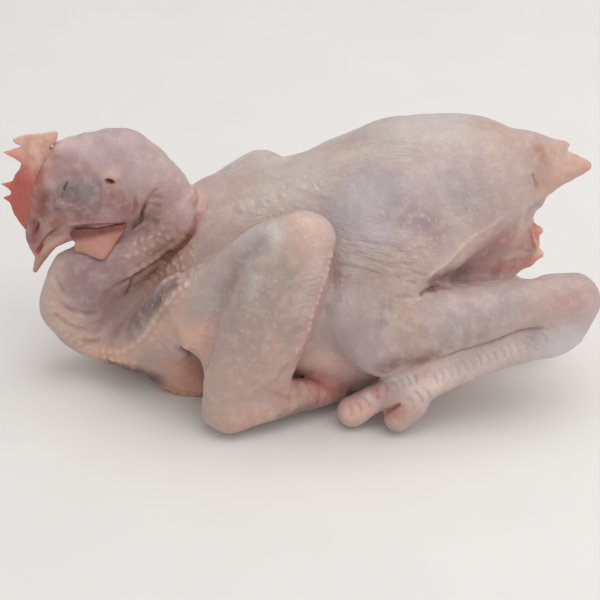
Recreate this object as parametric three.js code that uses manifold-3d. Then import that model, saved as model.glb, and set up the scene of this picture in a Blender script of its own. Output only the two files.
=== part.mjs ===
// A whole plucked chicken with its head, folded wings and folded legs, lying on its breast.
// Millimetres, +Z up, -X towards the head, -Y towards the bird's left side.
// The flesh is one smooth distance field, negative inside, that is turned into a triangle mesh.
// The comb and the wattles are flat plates joined to it, and the underside is pressed flat.
import * as THREE from "three";
import { edgeTable, triTable } from "three/addons/objects/MarchingCubes.js";
import { mergeVertices } from "three/addons/utils/BufferGeometryUtils.js";
import Module from "manifold-3d";

const wasm = await Module();
wasm.setup();

// Driving sizes.
const SPINE_Y = 27; // the bird's middle plane
const GROUND = 1.2; // everything under this height is pressed flat
const SKIN_WEB = 3; // half thickness of a stretched web of skin
const COMB_THICK = 4.4;
const WATTLE_THICK = 3.6;
const WATTLE_SPREAD = 12; // each wattle hangs this far from the head's middle plane

// Mesh fineness.
const PITCH = 2.5; // grid step in which the field is sampled
const MOST_TRIANGLES = 10400;
const FIRST_LIMIT = 0.02; // the error that the first round of thinning allows
const LIMIT_GROWTH = 1.25; // each round allows this much more
const LENGTH_WEIGHT = 0.002; // how much the thinning dislikes long triangles
const LEAST_TURN = 0.3; // the cosine of the most that a face may turn when an edge is merged

const SKIN = 0xd2b8ae;

// Distance fields. Each maker returns a function of x, y, z.

// An ellipsoid. The turn, in degrees, lowers its -X end.
function ball([cx, cy, cz], [rx, ry, rz], turn = 0) {
  const c = Math.cos(THREE.MathUtils.degToRad(turn));
  const s = Math.sin(THREE.MathUtils.degToRad(turn));
  return (x, y, z) => {
    const dx = x - cx;
    const dz = z - cz;
    const u = (dx * c + dz * s) / rx;
    const v = (y - cy) / ry;
    const w = (dz * c - dx * s) / rz;
    const k0 = Math.hypot(u, v, w);
    const k1 = Math.hypot(u / rx, v / ry, w / rz);
    return k1 > 0 ? (k0 * (k0 - 1)) / k1 : -Math.min(rx, ry, rz);
  };
}

// A tube through stations of [x, y, z, radius]. With a flat direction, its section is an ellipse
// that is thinner by the factor thin along it.
function tube(stations, flat = null, thin = 1, perSpan = 4) {
  const curve = new THREE.CatmullRomCurve3(stations.map(([x, y, z]) => new THREE.Vector3(x, y, z)));
  const spans = stations.length - 1;
  const line = [];
  for (let i = 0; i <= spans * perSpan; i++) {
    const t = i / perSpan;
    const k = Math.min(Math.floor(t), spans - 1);
    const p = curve.getPoint(t / spans);
    const r = THREE.MathUtils.lerp(stations[k][3], stations[k + 1][3], t - k);
    line.push([p.x, p.y, p.z, r]);
  }
  const n = flat ? new THREE.Vector3(...flat).normalize() : new THREE.Vector3();
  const extra = flat ? 1 / (thin * thin) - 1 : 0;
  return (x, y, z) => {
    let best = Infinity;
    for (let i = 1; i < line.length; i++) {
      const a = line[i - 1];
      const b = line[i];
      const bx = b[0] - a[0];
      const by = b[1] - a[1];
      const bz = b[2] - a[2];
      const ax = x - a[0];
      const ay = y - a[1];
      const az = z - a[2];
      const share = (ax * bx + ay * by + az * bz) / (bx * bx + by * by + bz * bz);
      const h = Math.min(1, Math.max(0, share));
      const dx = ax - bx * h;
      const dy = ay - by * h;
      const dz = az - bz * h;
      const across = dx * n.x + dy * n.y + dz * n.z;
      const reach = Math.sqrt(dx * dx + dy * dy + dz * dz + extra * across * across);
      best = Math.min(best, reach - a[3] - (b[3] - a[3]) * h);
    }
    return best;
  };
}

// A flat web of skin between three corners.
function web(a, b, c, half = SKIN_WEB) {
  const triangle = new THREE.Triangle(...[a, b, c].map((p) => new THREE.Vector3(...p)));
  const point = new THREE.Vector3();
  const near = new THREE.Vector3();
  return (x, y, z) => {
    triangle.closestPointToPoint(point.set(x, y, z), near);
    return near.distanceTo(point) - half;
  };
}

// Joins fields with a fillet of about the given size.
function blend(size, ...fields) {
  return (x, y, z) => {
    let d = fields[0](x, y, z);
    for (let i = 1; i < fields.length; i++) {
      const e = fields[i](x, y, z);
      const h = Math.max(size - Math.abs(d - e), 0) / size;
      d = Math.min(d, e) - (h * h * size) / 4;
    }
    return d;
  };
}

// Takes one field out of another, with a rounded rim of about the given size.
function carve(size, field, hole) {
  return (x, y, z) => {
    const d = field(x, y, z);
    const e = -hole(x, y, z);
    const h = Math.max(size - Math.abs(d - e), 0) / size;
    return Math.max(d, e) + (h * h * size) / 4;
  };
}

// The same field on the bird's other side.
function mirrored(field) {
  return (x, y, z) => field(x, 2 * SPINE_Y - y, z);
}

// Body: breast, shoulders, back, hips, rump, abdomen and belly.
function torso() {
  const breast = ball([0, SPINE_Y, 47], [72, 53, 52], -4);
  const shoulders = ball([-9, SPINE_Y + 2, 64.5], [56, 38, 33], -22);
  const back = ball([7, SPINE_Y + 2, 79], [50, 34, 37], 24);
  const hips = ball([58.6, SPINE_Y, 86], [54, 42, 49], -4);
  const rump = ball([86, SPINE_Y, 102], [28, 29, 31], 2);
  const abdomen = ball([63, SPINE_Y - 2, 56], [39, 34, 46], 5);
  const belly = ball([32, 0, 28], [42, 25, 26]);
  return blend(12, breast, shoulders, back, hips, rump, abdomen, belly);
}

function thigh() {
  return ball([46, -8, 70], [34, 24, 38], 20);
}

// The hollow flank behind the thigh, above the drumstick.
function flank() {
  return ball([98, -22, 77], [48, 19, 16], 30);
}

// The fold of skin that bounds the flank, from the tail down to the knee.
function thighFold() {
  return tube([[112, 14, 103, 2], [101, 2, 97, 2.2], [80, -11, 88.5, 2.2], [61, -20, 75, 2.5]]);
}

function tail() {
  const root = ball([107, SPINE_Y, 110], [19, 15, 18.8]);
  const tip = tube([[113, SPINE_Y, 109, 13], [126, SPINE_Y, 110, 8.4], [138, SPINE_Y, 110.6, 3]]);
  const spur = tube([[112, SPINE_Y, 117, 7], [122, SPINE_Y, 120.6, 4], [127.5, SPINE_Y, 122, 2]]);
  return blend(4, root, tip, spur);
}

// The vent's cut rim: an upper and a lower edge with torn skin between them.
function vent() {
  const rim = ball([101, 19, 68.5], [12, 9, 11.5]);
  const upper = tube([[105, 20, 75.5, 4.5], [111.5, 19.5, 79, 3.4], [116.6, 19, 79, 2.4]]);
  const lower = tube([[103, 18, 55.5, 3], [111, 17.5, 62, 2.6], [118.4, 17, 66.8, 2.1]]);
  const torn = web([106, 20, 77], [116, 18.5, 73], [113, 17.5, 62], 2.2);
  return blend(3, rim, upper, lower, torn);
}

// The neck leaves the breast, lies forward on the ground, turns up and comes back to the nape.
const NECK_TURN = [-112.5, 13, 40, 16.4];
const LOWER_NECK = [
  [-52, 24, 26, 27],
  [-74, 21, 18, 20],
  [-93, 18, 20.3, 15.2],
  [-109, 15, 28, 14.4],
  NECK_TURN,
];
const UPPER_NECK = [
  NECK_TURN,
  [-107, 14, 54.5, 17],
  [-90, 18, 62, 15.2],
  [-75, 24, 71, 14.5],
  [-65, 27, 83, 13.5],
  [-65.5, 27, 94, 12.7],
  [-75, 25, 104.5, 16],
];

// Skin that folds from the shoulder round the front of the breast to the neck.
const SHOULDER_SKIN = [-59, -17, 66];
const CROP_FOLD = [-78, -6, 36];

function cropSkin() {
  const roll = tube([
    [-113.5, 13, 24.5, 6.5],
    [-100, 8, 20.5, 8.6],
    [-88, 2, 21.5, 9.5],
    [...CROP_FOLD, 8.5],
    [-69, -11, 51, 7],
    [...SHOULDER_SKIN, 6],
  ]);
  const hollow = web([-103, 14, 38], [-68, 23, 50], [-80, 20, 28], 9);
  const crop = ball([-60, 5, 27], [23, 21, 25]);
  const lobe = tube([[-78, 1, 16.6, 7.5], [-64, -5, 10.5, 6.8], [-50, -7, 7.4, 7.4]]);
  const sheet = web(CROP_FOLD, SHOULDER_SKIN, [-61, -13, 34], 6);
  const nape = ball([-57, 20, 85], [8.5, 9, 10.5]);
  return blend(9, roll, hollow, crop, lobe, sheet, nape);
}

// The head's own frame: forward along the beak, up to the comb, side towards the bird's right.
const SKULL_CENTRE = new THREE.Vector3(-91, 24, 105.5);
const forward = new THREE.Vector3(-0.653, -0.05, -0.757).normalize();
const up = new THREE.Vector3(0, 1, 0).cross(forward).normalize();
const side = forward.clone().cross(up);
const headMatrix = new THREE.Matrix4().makeBasis(forward, up, side).setPosition(SKULL_CENTRE);

// A field that is written in the head's frame.
function onHead(field) {
  const back = headMatrix.clone().invert();
  const p = new THREE.Vector3();
  return (x, y, z) => {
    p.set(x, y, z).applyMatrix4(back);
    return field(p.x, p.y, p.z);
  };
}

function head() {
  const crown = ball([-0.6, 1.4, 0], [26.3, 25, 16.6]);
  const face = ball([20, 9, 0], [22, 18, 13]);
  const cheek = ball([10, -6, 0], [18, 12, 14]);
  const brow = ball([19, 14, 0], [11, 9, 14]);
  const upperBeak = tube([[36, 9.6, 0, 9.6], [46.5, 9.4, 0, 6.4], [52.5, 7.6, 0, 3.1], [57.2, 2.8, 0, 1.4]]);
  const lowerBeak = tube([[35, -0.6, 0, 6.8], [47, 2, 0, 4.2], [57, 0.2, 0, 2.6], [65, -2.2, 0, 1.3]]);
  const combRoot = tube([
    [-9, 24.6, 0, 2.6],
    [2, 27.5, 0, 3],
    [13, 27, 0, 3.6],
    [20, 24.8, 0, 3.8],
    [28, 21.8, 0, 3.6],
    [36, 18.5, 0, 3.4],
    [44, 13.5, 0, 2.4],
  ]);
  const skull = blend(7, crown, face, cheek, brow, combRoot);
  return onHead(blend(3, skull, blend(2, upperBeak, lowerBeak)));
}

// Left wing: upper arm, elbow, broad forearm, wrist and hand, with skin stretched between them.
const SHOULDER = [-54, -14, 60];
const ELBOW = [1.5, -22, 100];
const WRIST = [-34, -40, 14.8];
const HAND_TIP = [19, -20, 9.5];
const ARCH_TOP = [-50.5, -27, 46.5];
const LEADING_EDGE = [-40, -36, 28];

function wing() {
  const arm = tube([[...SHOULDER, 12], [-34, -18, 77, 11.5], [-17, -20, 92, 11.5], [...ELBOW, 12.5]]);
  const forearm = tube(
    [[-1, -22, 98, 13.5], [-8, -28, 80, 21], [-17, -33, 58, 22], [-26, -38, 36, 18.5], [...WRIST, 12.2]],
    [0.15, -0.9, -0.35],
    0.5,
  );
  const edge = tube([[6, -22, 98, 9.5], [4, -27, 76, 6.5], [-3, -31, 50, 6.5], [-12, -35, 28, 7]]);
  const hand = tube(
    [[...WRIST, 12.2], [-18, -36, 16.4, 10.8], [2, -29, 14.6, 7.8], [...HAND_TIP, 4.5]],
    [0.3, 0.7, -0.6],
    0.7,
  );
  const shoulderWeb = web(SHOULDER_SKIN, [-61, -18, 41], ARCH_TOP);
  const armWeb = web(SHOULDER_SKIN, ARCH_TOP, ELBOW, 4.5);
  const leadingWeb = web(ARCH_TOP, LEADING_EDGE, ELBOW);
  return blend(7, arm, forearm, edge, hand, shoulderWeb, armWeb, leadingWeb);
}

// The right wing is the left one mirrored, leaning forward and pressed lower.
const PRESSED = 0.79;
const FORWARD_LEAN = 0.235;

function farWing() {
  const near = wing();
  return (x, y, z) => PRESSED * near(x + FORWARD_LEAN * z, 2 * SPINE_Y - y, z / PRESSED);
}

// Left leg with its foot: drumstick, hock, shank and the stumps of the front toes.
const KNEE = [42, -24, 51];
const HOCK = [131.8, -15, 60.5];
const PALM = [50, -36, 21];

function leg() {
  const drumstick = tube([
    [...KNEE, 24],
    [62, -24, 52.5, 19.5],
    [83, -21, 55.5, 15.8],
    [102, -18, 58.3, 13.4],
    [117, -16, 59.8, 12.4],
    [...HOCK, 12.2],
  ]);
  const heel = ball([121.5, -21, 47.5], [11.5, 9.5, 9.8]);
  return blend(7, drumstick, heel);
}

function foot() {
  const shank = tube([
    [124, -22, 47, 8],
    [113, -26, 43, 7.4],
    [95, -30, 39.2, 7.4],
    [74, -34, 32.8, 7.7],
    [59, -36, 26.6, 9.2],
    [...PALM, 10.4],
  ]);
  const middle = tube([[50, -34, 22, 8.4], [38, -34.5, 17.4, 6.4], [25.5, -36, 9.8, 7.5]]);
  const outer = tube([[54, -39, 17.5, 8], [47.4, -40.5, 9.8, 6.9]]);
  const inner = tube([[50, -30, 18, 7.5], [40, -22, 9, 6.5]]);
  return blend(3, shank, middle, outer, inner);
}

// The right leg is the left one mirrored, and it slants down and in under the belly.
const FAR_LEG_DROP = 8;
const FAR_LEG_AHEAD = 12;
const FAR_LEG_IN = 7;
const SLANT_DOWN = 0.35;
const SLANT_IN = 0.36;

function farSide(near) {
  return (x, y, z) => {
    const behindKnee = x - KNEE[0];
    const across = 2 * SPINE_Y - y - FAR_LEG_IN - SLANT_IN * behindKnee;
    return near(x + FAR_LEG_AHEAD, across, z + FAR_LEG_DROP + SLANT_DOWN * behindKnee);
  };
}

function flesh() {
  const full = blend(14, torso(), thigh(), mirrored(thigh()));
  const hollowed = carve(6, carve(6, full, flank()), mirrored(flank()));
  const folded = blend(5, hollowed, thighFold(), mirrored(thighFold()));
  const body = blend(4, blend(5, folded, tail()), vent());
  const withNeck = blend(14, body, tube(LOWER_NECK));
  const withCrop = blend(7, withNeck, cropSkin());
  const withLegs = blend(10, withCrop, leg(), farSide(leg()));
  const withWings = blend(4, withLegs, wing(), farWing());
  const upperEnd = blend(5, tube(UPPER_NECK), head());
  return blend(4, withWings, upperEnd, foot(), farSide(foot()));
}

// A cube's corners, and its edges as pairs of corners, in the order of the marching cubes tables.
const CORNERS = [
  [0, 0, 0], [1, 0, 0], [1, 1, 0], [0, 1, 0],
  [0, 0, 1], [1, 0, 1], [1, 1, 1], [0, 1, 1],
];
const EDGES = [
  [0, 1], [1, 2], [2, 3], [3, 0],
  [4, 5], [5, 6], [6, 7], [7, 4],
  [0, 4], [1, 5], [2, 6], [3, 7],
];

// Triangles round a field's zero surface, by marching cubes over a box of [low, high] corners.
function polygonize(field, [low, high], pitch) {
  const [nx, ny, nz] = low.map((v, axis) => Math.ceil((high[axis] - v) / pitch) + 1);
  const indexOf = (i, j, k) => i + nx * (j + ny * k);
  const values = new Float64Array(nx * ny * nz);
  const least = 0.1 * pitch; // keeps vertices off the grid's corners, so that no sliver is made
  for (let k = 0; k < nz; k++)
    for (let j = 0; j < ny; j++)
      for (let i = 0; i < nx; i++) {
        const d = field(low[0] + i * pitch, low[1] + j * pitch, low[2] + k * pitch);
        values[indexOf(i, j, k)] = Math.abs(d) < least ? (d < 0 ? -least : least) : d;
      }
  const points = [];
  const faces = [];
  const made = new Map();
  const vertexOn = (a, b) => {
    const ia = indexOf(...a);
    const ib = indexOf(...b);
    const key = Math.min(ia, ib) * values.length + Math.max(ia, ib);
    if (!made.has(key)) {
      const t = values[ia] / (values[ia] - values[ib]);
      made.set(key, points.length);
      points.push(a.map((v, axis) => low[axis] + pitch * (v + t * (b[axis] - v))));
    }
    return made.get(key);
  };
  for (let k = 0; k < nz - 1; k++)
    for (let j = 0; j < ny - 1; j++)
      for (let i = 0; i < nx - 1; i++) {
        const at = CORNERS.map(([a, b, c]) => [i + a, j + b, k + c]);
        const code = at.reduce((sum, p, n) => sum | (values[indexOf(...p)] < 0 ? 1 << n : 0), 0);
        if (!edgeTable[code]) continue;
        for (let n = code * 16; triTable[n] !== -1; n += 3) {
          const face = [triTable[n], triTable[n + 2], triTable[n + 1]];
          faces.push(face.map((e) => vertexOn(at[EDGES[e][0]], at[EDGES[e][1]])));
        }
      }
  return { points, faces };
}

// Thinning: merges the ends of edges where that changes the surface least.

const minus = (a, b) => [a[0] - b[0], a[1] - b[1], a[2] - b[2]];
const dot = (a, b) => a[0] * b[0] + a[1] * b[1] + a[2] * b[2];
const cross = (a, b) => [a[1] * b[2] - a[2] * b[1], a[2] * b[0] - a[0] * b[2], a[0] * b[1] - a[1] * b[0]];

// Twice the triangle's area along its outward direction.
const areaVector = (a, b, c) => cross(minus(b, a), minus(c, a));

// The squared distance to a triangle's plane, weighted by its area, as ten coefficients.
function planeError(a, b, c) {
  const n = areaVector(a, b, c);
  const size = Math.hypot(...n) || 1;
  const [x, y, z] = n.map((v) => v / size);
  const w = -dot([x, y, z], a);
  return [x * x, x * y, x * z, x * w, y * y, y * z, y * w, z * z, z * w, w * w].map((v) => v * size);
}

function errorAt(q, [x, y, z]) {
  const onX = x * (q[0] * x + 2 * (q[1] * y + q[2] * z + q[3]));
  const onY = y * (q[4] * y + 2 * (q[5] * z + q[6]));
  return onX + onY + z * (q[7] * z + 2 * q[8]) + q[9];
}

// Whether each face of vertex v, without the faces dropped, still looks outward when v moves.
function staysOutward(points, faces, around, v, dropped, moved) {
  for (const f of around[v]) {
    if (faces[f].includes(dropped)) continue;
    const before = areaVector(...faces[f].map((i) => points[i]));
    const after = areaVector(...faces[f].map((i) => (i === v ? moved : points[i])));
    if (dot(before, after) < LEAST_TURN * Math.hypot(...before) * Math.hypot(...after)) return false;
  }
  return true;
}

// One round over all edges. Merges those under the error limit and never two that touch.
function thinningRound(points, errors, faces, limit, most) {
  const around = points.map(() => []);
  faces.forEach((face, f) => face.forEach((v) => around[v].push(f)));
  const ringOf = (v) => new Set(around[v].flatMap((f) => faces[f]));
  const busy = new Uint8Array(points.length);
  const heir = points.map((_, i) => i);
  let count = faces.length;
  for (const face of faces)
    for (let n = 0; n < 3 && count > most; n++) {
      const [a, b] = [face[n], face[(n + 1) % 3]];
      if (a > b || busy[a] || busy[b]) continue;
      const middle = points[a].map((v, axis) => (v + points[b][axis]) / 2);
      const sum = errors[a].map((v, i) => v + errors[b][i]);
      const choices = [middle, points[a], points[b]].map((p) => [errorAt(sum, p), p]);
      const [error, best] = choices.reduce((least, one) => (one[0] < least[0] ? one : least));
      const length = Math.hypot(...minus(points[a], points[b]));
      if (error + LENGTH_WEIGHT * length ** 4 > limit) continue;
      const [ringA, ringB] = [ringOf(a), ringOf(b)];
      const shared = [...ringA].filter((v) => v !== a && v !== b && ringB.has(v));
      if (shared.length !== 2) continue;
      if (!staysOutward(points, faces, around, a, b, best)) continue;
      if (!staysOutward(points, faces, around, b, a, best)) continue;
      points[a] = best;
      errors[a] = sum;
      heir[b] = a;
      count -= 2;
      for (const v of [...ringA, ...ringB]) busy[v] = 1;
    }
  return faces
    .map((face) => face.map((v) => heir[v]))
    .filter(([a, b, c]) => a !== b && b !== c && c !== a);
}

function thinned({ points, faces }, most) {
  const errors = points.map(() => new Array(10).fill(0));
  for (const face of faces) {
    const error = planeError(...face.map((v) => points[v]));
    for (const v of face) errors[v] = errors[v].map((e, i) => e + error[i]);
  }
  let left = faces;
  for (let limit = FIRST_LIMIT; left.length > most; limit *= LIMIT_GROWTH) {
    left = thinningRound(points, errors, left, limit, most);
  }
  return { points, faces: left };
}

// Solids.

function geometryOf(positions, triangles) {
  const geometry = new THREE.BufferGeometry();
  geometry.setAttribute("position", new THREE.Float32BufferAttribute(positions, 3));
  geometry.setIndex(triangles);
  return geometry;
}

// A closed geometry as a manifold solid.
function solidOf(geometry) {
  const bare = geometry.clone();
  bare.deleteAttribute("normal");
  bare.deleteAttribute("uv");
  const merged = mergeVertices(bare);
  const vertProperties = new Float32Array(merged.attributes.position.array);
  const triVerts = new Uint32Array(merged.index.array);
  return new wasm.Manifold(new wasm.Mesh({ numProp: 3, vertProperties, triVerts }));
}

// A plate of even thickness in the head's middle plane, moved sideways by the offset.
function headPlate(outline, thickness, offset) {
  const bevel = thickness / 3;
  const shape = new THREE.Shape(outline.map((p) => new THREE.Vector2(...p)));
  const geometry = new THREE.ExtrudeGeometry(shape, {
    depth: thickness - 2 * bevel,
    bevelThickness: bevel,
    bevelSize: bevel / 2,
    bevelSegments: 1,
  });
  geometry.translate(0, 0, offset - thickness / 2 + bevel);
  return solidOf(geometry.applyMatrix4(headMatrix));
}

// The comb's outline, from its rear lobe over its points to the nostril, then under the skin.
const COMB = [
  [-3.4, 35], [6.4, 43.8], [14.6, 48.2], [15.4, 44.4], [22.2, 48.6], [22.4, 39], [30, 36.8], [36, 39.2],
  [37.6, 33], [41.6, 33.2], [44, 28], [47.8, 20], [48, 15.5], [40, 9], [20, 14], [3, 24],
];
const WATTLE = [
  [30.5, -1], [20.5, -8.5], [11.5, -14], [11.4, -17], [15, -19], [22, -18.2], [31, -19.4], [35.2, -9], [34, -4],
];

// The space that the bird takes up before its underside is pressed flat, and what presses it.
const SPACE = [[-150, -60, -12], [152, 122, 148]];
const SLAB = [400, 300, 40];

const skin = thinned(polygonize(flesh(), SPACE, PITCH), MOST_TRIANGLES);
const body = solidOf(geometryOf(skin.points.flat(), skin.faces.flat()));
const comb = headPlate(COMB, COMB_THICK, 0);
const wattles = [-WATTLE_SPREAD, WATTLE_SPREAD].map((offset) => headPlate(WATTLE, WATTLE_THICK, offset));
const slab = new THREE.BoxGeometry(...SLAB).translate(0, 0, GROUND - SLAB[2] / 2);
const bird = wasm.Manifold.union([body, comb, ...wattles]).subtract(solidOf(slab));

// The origin is the middle of the bounding box's floor.
const mesh = bird.getMesh();
const geometry = geometryOf(mesh.vertProperties, new THREE.Uint32BufferAttribute(mesh.triVerts, 1));
geometry.computeBoundingBox();
const { min, max } = geometry.boundingBox;
geometry.translate(-(min.x + max.x) / 2, -(min.y + max.y) / 2, -min.z);
geometry.computeVertexNormals();
const chicken = new THREE.Mesh(
  geometry,
  new THREE.MeshStandardMaterial({ color: SKIN, roughness: 0.5, metalness: 0 }),
);
chicken.name = "chicken";

const group = new THREE.Group();
group.add(chicken);
export default group;
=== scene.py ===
import itertools
import math

import bpy
import numpy as np
from mathutils import Matrix, Vector, noise


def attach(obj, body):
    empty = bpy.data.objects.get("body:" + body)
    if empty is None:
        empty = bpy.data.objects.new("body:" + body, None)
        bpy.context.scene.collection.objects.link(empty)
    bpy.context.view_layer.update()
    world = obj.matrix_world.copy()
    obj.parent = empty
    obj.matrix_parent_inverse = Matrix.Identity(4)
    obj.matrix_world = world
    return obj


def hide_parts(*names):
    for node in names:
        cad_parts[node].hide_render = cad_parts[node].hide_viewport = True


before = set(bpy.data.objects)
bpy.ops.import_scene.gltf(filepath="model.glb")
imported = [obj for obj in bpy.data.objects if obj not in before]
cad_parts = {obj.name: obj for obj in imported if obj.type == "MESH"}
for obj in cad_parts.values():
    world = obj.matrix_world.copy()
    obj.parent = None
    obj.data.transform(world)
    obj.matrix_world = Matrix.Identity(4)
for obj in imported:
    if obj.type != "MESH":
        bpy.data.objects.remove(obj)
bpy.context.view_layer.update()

# All forms are in millimetres in the bird's own frame. This is where the part's origin lies in it.
PART_ORIGIN = np.array([-0.4, 26.85, 1.2])
MM = 0.001

SPINE_Y = 27.0  # the bird's middle plane
GROUND = 1.2  # the height that it rests at
SKIN_WEB = 3.0  # half the thickness of the skin between its limbs

# The photograph's width and focal length in pixels, and the camera's place, frame and sensor.
PICTURE = 600
FOCAL_PIXELS = 1800
SENSOR = 36.0
CAMERA_RISE = math.radians(33.18)
CAMERA_TARGET = np.array([0.0, 16.5, 40.0])
CAMERA_DISTANCE = 900.0
VIEW = np.array([0, math.cos(CAMERA_RISE), -math.sin(CAMERA_RISE)])
VIEW_UP = np.array([0, math.sin(CAMERA_RISE), math.cos(CAMERA_RISE)])
VIEW_RIGHT = np.array([1.0, 0, 0])
EYE = CAMERA_TARGET - CAMERA_DISTANCE * VIEW


# Distance fields. Each maker returns a function from points to distances, negative inside.

def unit(vector):
    vector = np.array(vector, float)
    return vector / np.linalg.norm(vector)


def ball(centre, radii, turn=0):
    """An ellipsoid. The turn, in degrees, lowers its -X end."""
    c, s = math.cos(math.radians(turn)), math.sin(math.radians(turn))
    centre, radii = np.array(centre, float), np.array(radii, float)

    def field(points):
        d = points - centre
        u = np.stack([d[:, 0] * c + d[:, 2] * s, d[:, 1], d[:, 2] * c - d[:, 0] * s], 1) / radii
        k0 = np.linalg.norm(u, axis=1) + 1e-6
        return k0 * (k0 - 1) / (np.linalg.norm(u / radii, axis=1) + 1e-9)

    return field


def smooth_line(stations, per_span=4):
    """Points of a centripetal Catmull-Rom curve through the stations, with its further numbers linear."""
    stations = np.array(stations, float)
    places = stations[:, :3]
    places = np.vstack([2 * places[0] - places[1], places, 2 * places[-1] - places[-2]])
    line = []
    for k in range(len(stations) - 1):
        a, b, c, d = places[k:k + 4]
        gaps = [max(np.linalg.norm(q - p), 1e-6) ** 0.5 for p, q in ((a, b), (b, c), (c, d))]
        start = ((b - a) / gaps[0] - (c - a) / (gaps[0] + gaps[1]) + (c - b) / gaps[1]) * gaps[1]
        end = ((c - b) / gaps[1] - (d - b) / (gaps[1] + gaps[2]) + (d - c) / gaps[2]) * gaps[1]
        for t in np.arange(per_span) / per_span:
            curve = (b + t * start + t * t * (3 * (c - b) - 2 * start - end)
                     + t ** 3 * (2 * (b - c) + start + end))
            line.append([*curve, *(stations[k, 3:] * (1 - t) + stations[k + 1, 3:] * t)])
    line.append(stations[-1])
    return np.array(line)


def along_segment(points, a, b):
    """Each point's share along a segment, from 0 to 1, and its offset from the nearest place on it."""
    reach = b - a
    offset = points - a
    share = np.clip(offset @ reach / (reach @ reach), 0, 1)
    return share, offset - share[:, None] * reach


def tube(stations, flat=None, thin=1):
    """A tube through stations of x, y, z, radius. A flat direction makes its section an ellipse."""
    line = smooth_line(stations)
    starts, runs = line[:-1, :3], np.diff(line[:, :3], axis=0)
    lengths = (runs ** 2).sum(1)
    squeeze = None if flat is None else unit(flat) * math.sqrt(1 / thin ** 2 - 1)

    def field(points):
        along = points @ runs.T - (starts * runs).sum(1)
        share = np.clip(along / lengths, 0, 1)
        reach = (points ** 2).sum(1)[:, None] - 2 * points @ starts.T + (starts ** 2).sum(1)
        reach += share * (share * lengths - 2 * along)
        if squeeze is not None:
            reach += ((points @ squeeze)[:, None] - starts @ squeeze - share * (runs @ squeeze)) ** 2
        return (np.sqrt(np.maximum(reach, 0)) - line[:-1, 3] - share * np.diff(line[:, 3])).min(1)

    return field


def web(a, b, c, half=SKIN_WEB):
    """A flat web of skin between three corners."""
    corners = np.array([a, b, c], float)
    sides = np.roll(corners, -1, 0) - corners
    normal = unit(np.cross(sides[0], sides[1]))

    def field(points):
        nearest = np.full(len(points), np.inf)
        outside = np.zeros(len(points), bool)
        for corner, side in zip(corners, sides):
            offset = along_segment(points, corner, corner + side)[1]
            nearest = np.minimum(nearest, np.linalg.norm(offset, axis=1))
            outside |= (points - corner) @ np.cross(side, normal) > 0
        return np.where(outside, nearest, abs((points - corners[0]) @ normal)) - half

    return field


def rounded_max(size, d, e):
    """The greater of two readings, and a little more where they are less than size apart."""
    h = np.maximum(size - abs(d - e), 0) / size
    return np.maximum(d, e) + h * h * size / 4


def blend(size, *fields):
    """Joins fields with a fillet of about the given size."""
    def field(points):
        inside = -fields[0](points)
        for other in fields[1:]:
            inside = rounded_max(size, inside, -other(points))
        return -inside

    return field


def carve(size, whole, hole):
    """Takes one field out of another, with a rounded rim of about the given size."""
    return lambda points: rounded_max(size, whole(points), -hole(points))


def seen_from(move, near):
    """A field read at moved points."""
    return lambda points: near(move(points))


# The bird's two sides. The right limbs are the left ones mirrored, pressed and slanted.

PRESSED = 0.79  # the right wing's height, as a share of the left one's
FORWARD_LEAN = 0.235  # how far it leans forward for each mm of height

# The right leg lies lower, further forward and further in than the left one mirrored, and slants
# down and in behind its knee.
FAR_LEG_DROP = 8
FAR_LEG_AHEAD = 12
FAR_LEG_IN = 7
SLANT_DOWN = 0.35
SLANT_IN = 0.36


def mirror(points):
    return points * (1, -1, 1) + (0, 2 * SPINE_Y, 0)


def wing_from_far(points):
    x, y, z = points.T
    return np.stack([x + FORWARD_LEAN * z, 2 * SPINE_Y - y, z / PRESSED], 1)


def wing_to_far(points):
    x, y, z = points.T
    return np.stack([x - FORWARD_LEAN * PRESSED * z, 2 * SPINE_Y - y, PRESSED * z], 1)


def leg_from_far(points):
    x, y, z = points.T
    behind_knee = x - KNEE[0]
    across = 2 * SPINE_Y - y - FAR_LEG_IN - SLANT_IN * behind_knee
    return np.stack([x + FAR_LEG_AHEAD, across, z + FAR_LEG_DROP + SLANT_DOWN * behind_knee], 1)


def leg_to_far(points):
    x, y, z = points.T
    x = x - FAR_LEG_AHEAD
    behind_knee = x - KNEE[0]
    across = 2 * SPINE_Y - y - FAR_LEG_IN - SLANT_IN * behind_knee
    return np.stack([x, across, z - FAR_LEG_DROP - SLANT_DOWN * behind_knee], 1)


# The head's own frame: forward along the beak, up to the comb, side towards the bird's right.
SKULL_CENTRE = np.array([-91, 24, 105.5])
FORWARD = unit([-0.653, -0.05, -0.757])
UP = unit(np.cross([0, 1, 0], FORWARD))
HEAD_AXES = np.stack([FORWARD, UP, np.cross(FORWARD, UP)])


def to_head(points):
    return (points - SKULL_CENTRE) @ HEAD_AXES.T


def from_head(points):
    return np.array(points, float) @ HEAD_AXES + SKULL_CENTRE


def mirror_head(points):
    return from_head(to_head(points) * (1, 1, -1))


# The main forms, at the solid's stations.

def torso():
    breast = ball([0, SPINE_Y, 47], [72, 53, 52], -4)
    shoulders = ball([-9, SPINE_Y + 2, 64.5], [56, 38, 33], -22)
    back = ball([7, SPINE_Y + 2, 79], [50, 34, 37], 24)
    hips = ball([58.6, SPINE_Y, 86], [54, 42, 49], -4)
    rump = ball([86, SPINE_Y, 102], [28, 29, 31], 2)
    abdomen = ball([63, SPINE_Y - 2, 56], [39, 34, 46], 5)
    belly = ball([32, 0, 28], [42, 25, 26])
    return blend(12, breast, shoulders, back, hips, rump, abdomen, belly)


def thigh():
    return ball([46, -8, 70], [34, 24, 38], 20)


def flank():
    return ball([98, -22, 77], [48, 19, 16], 30)


def thigh_fold():
    return tube([[112, 14, 103, 2], [101, 2, 97, 2.2], [80, -11, 88.5, 2.2], [61, -20, 75, 2.5]])


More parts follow.
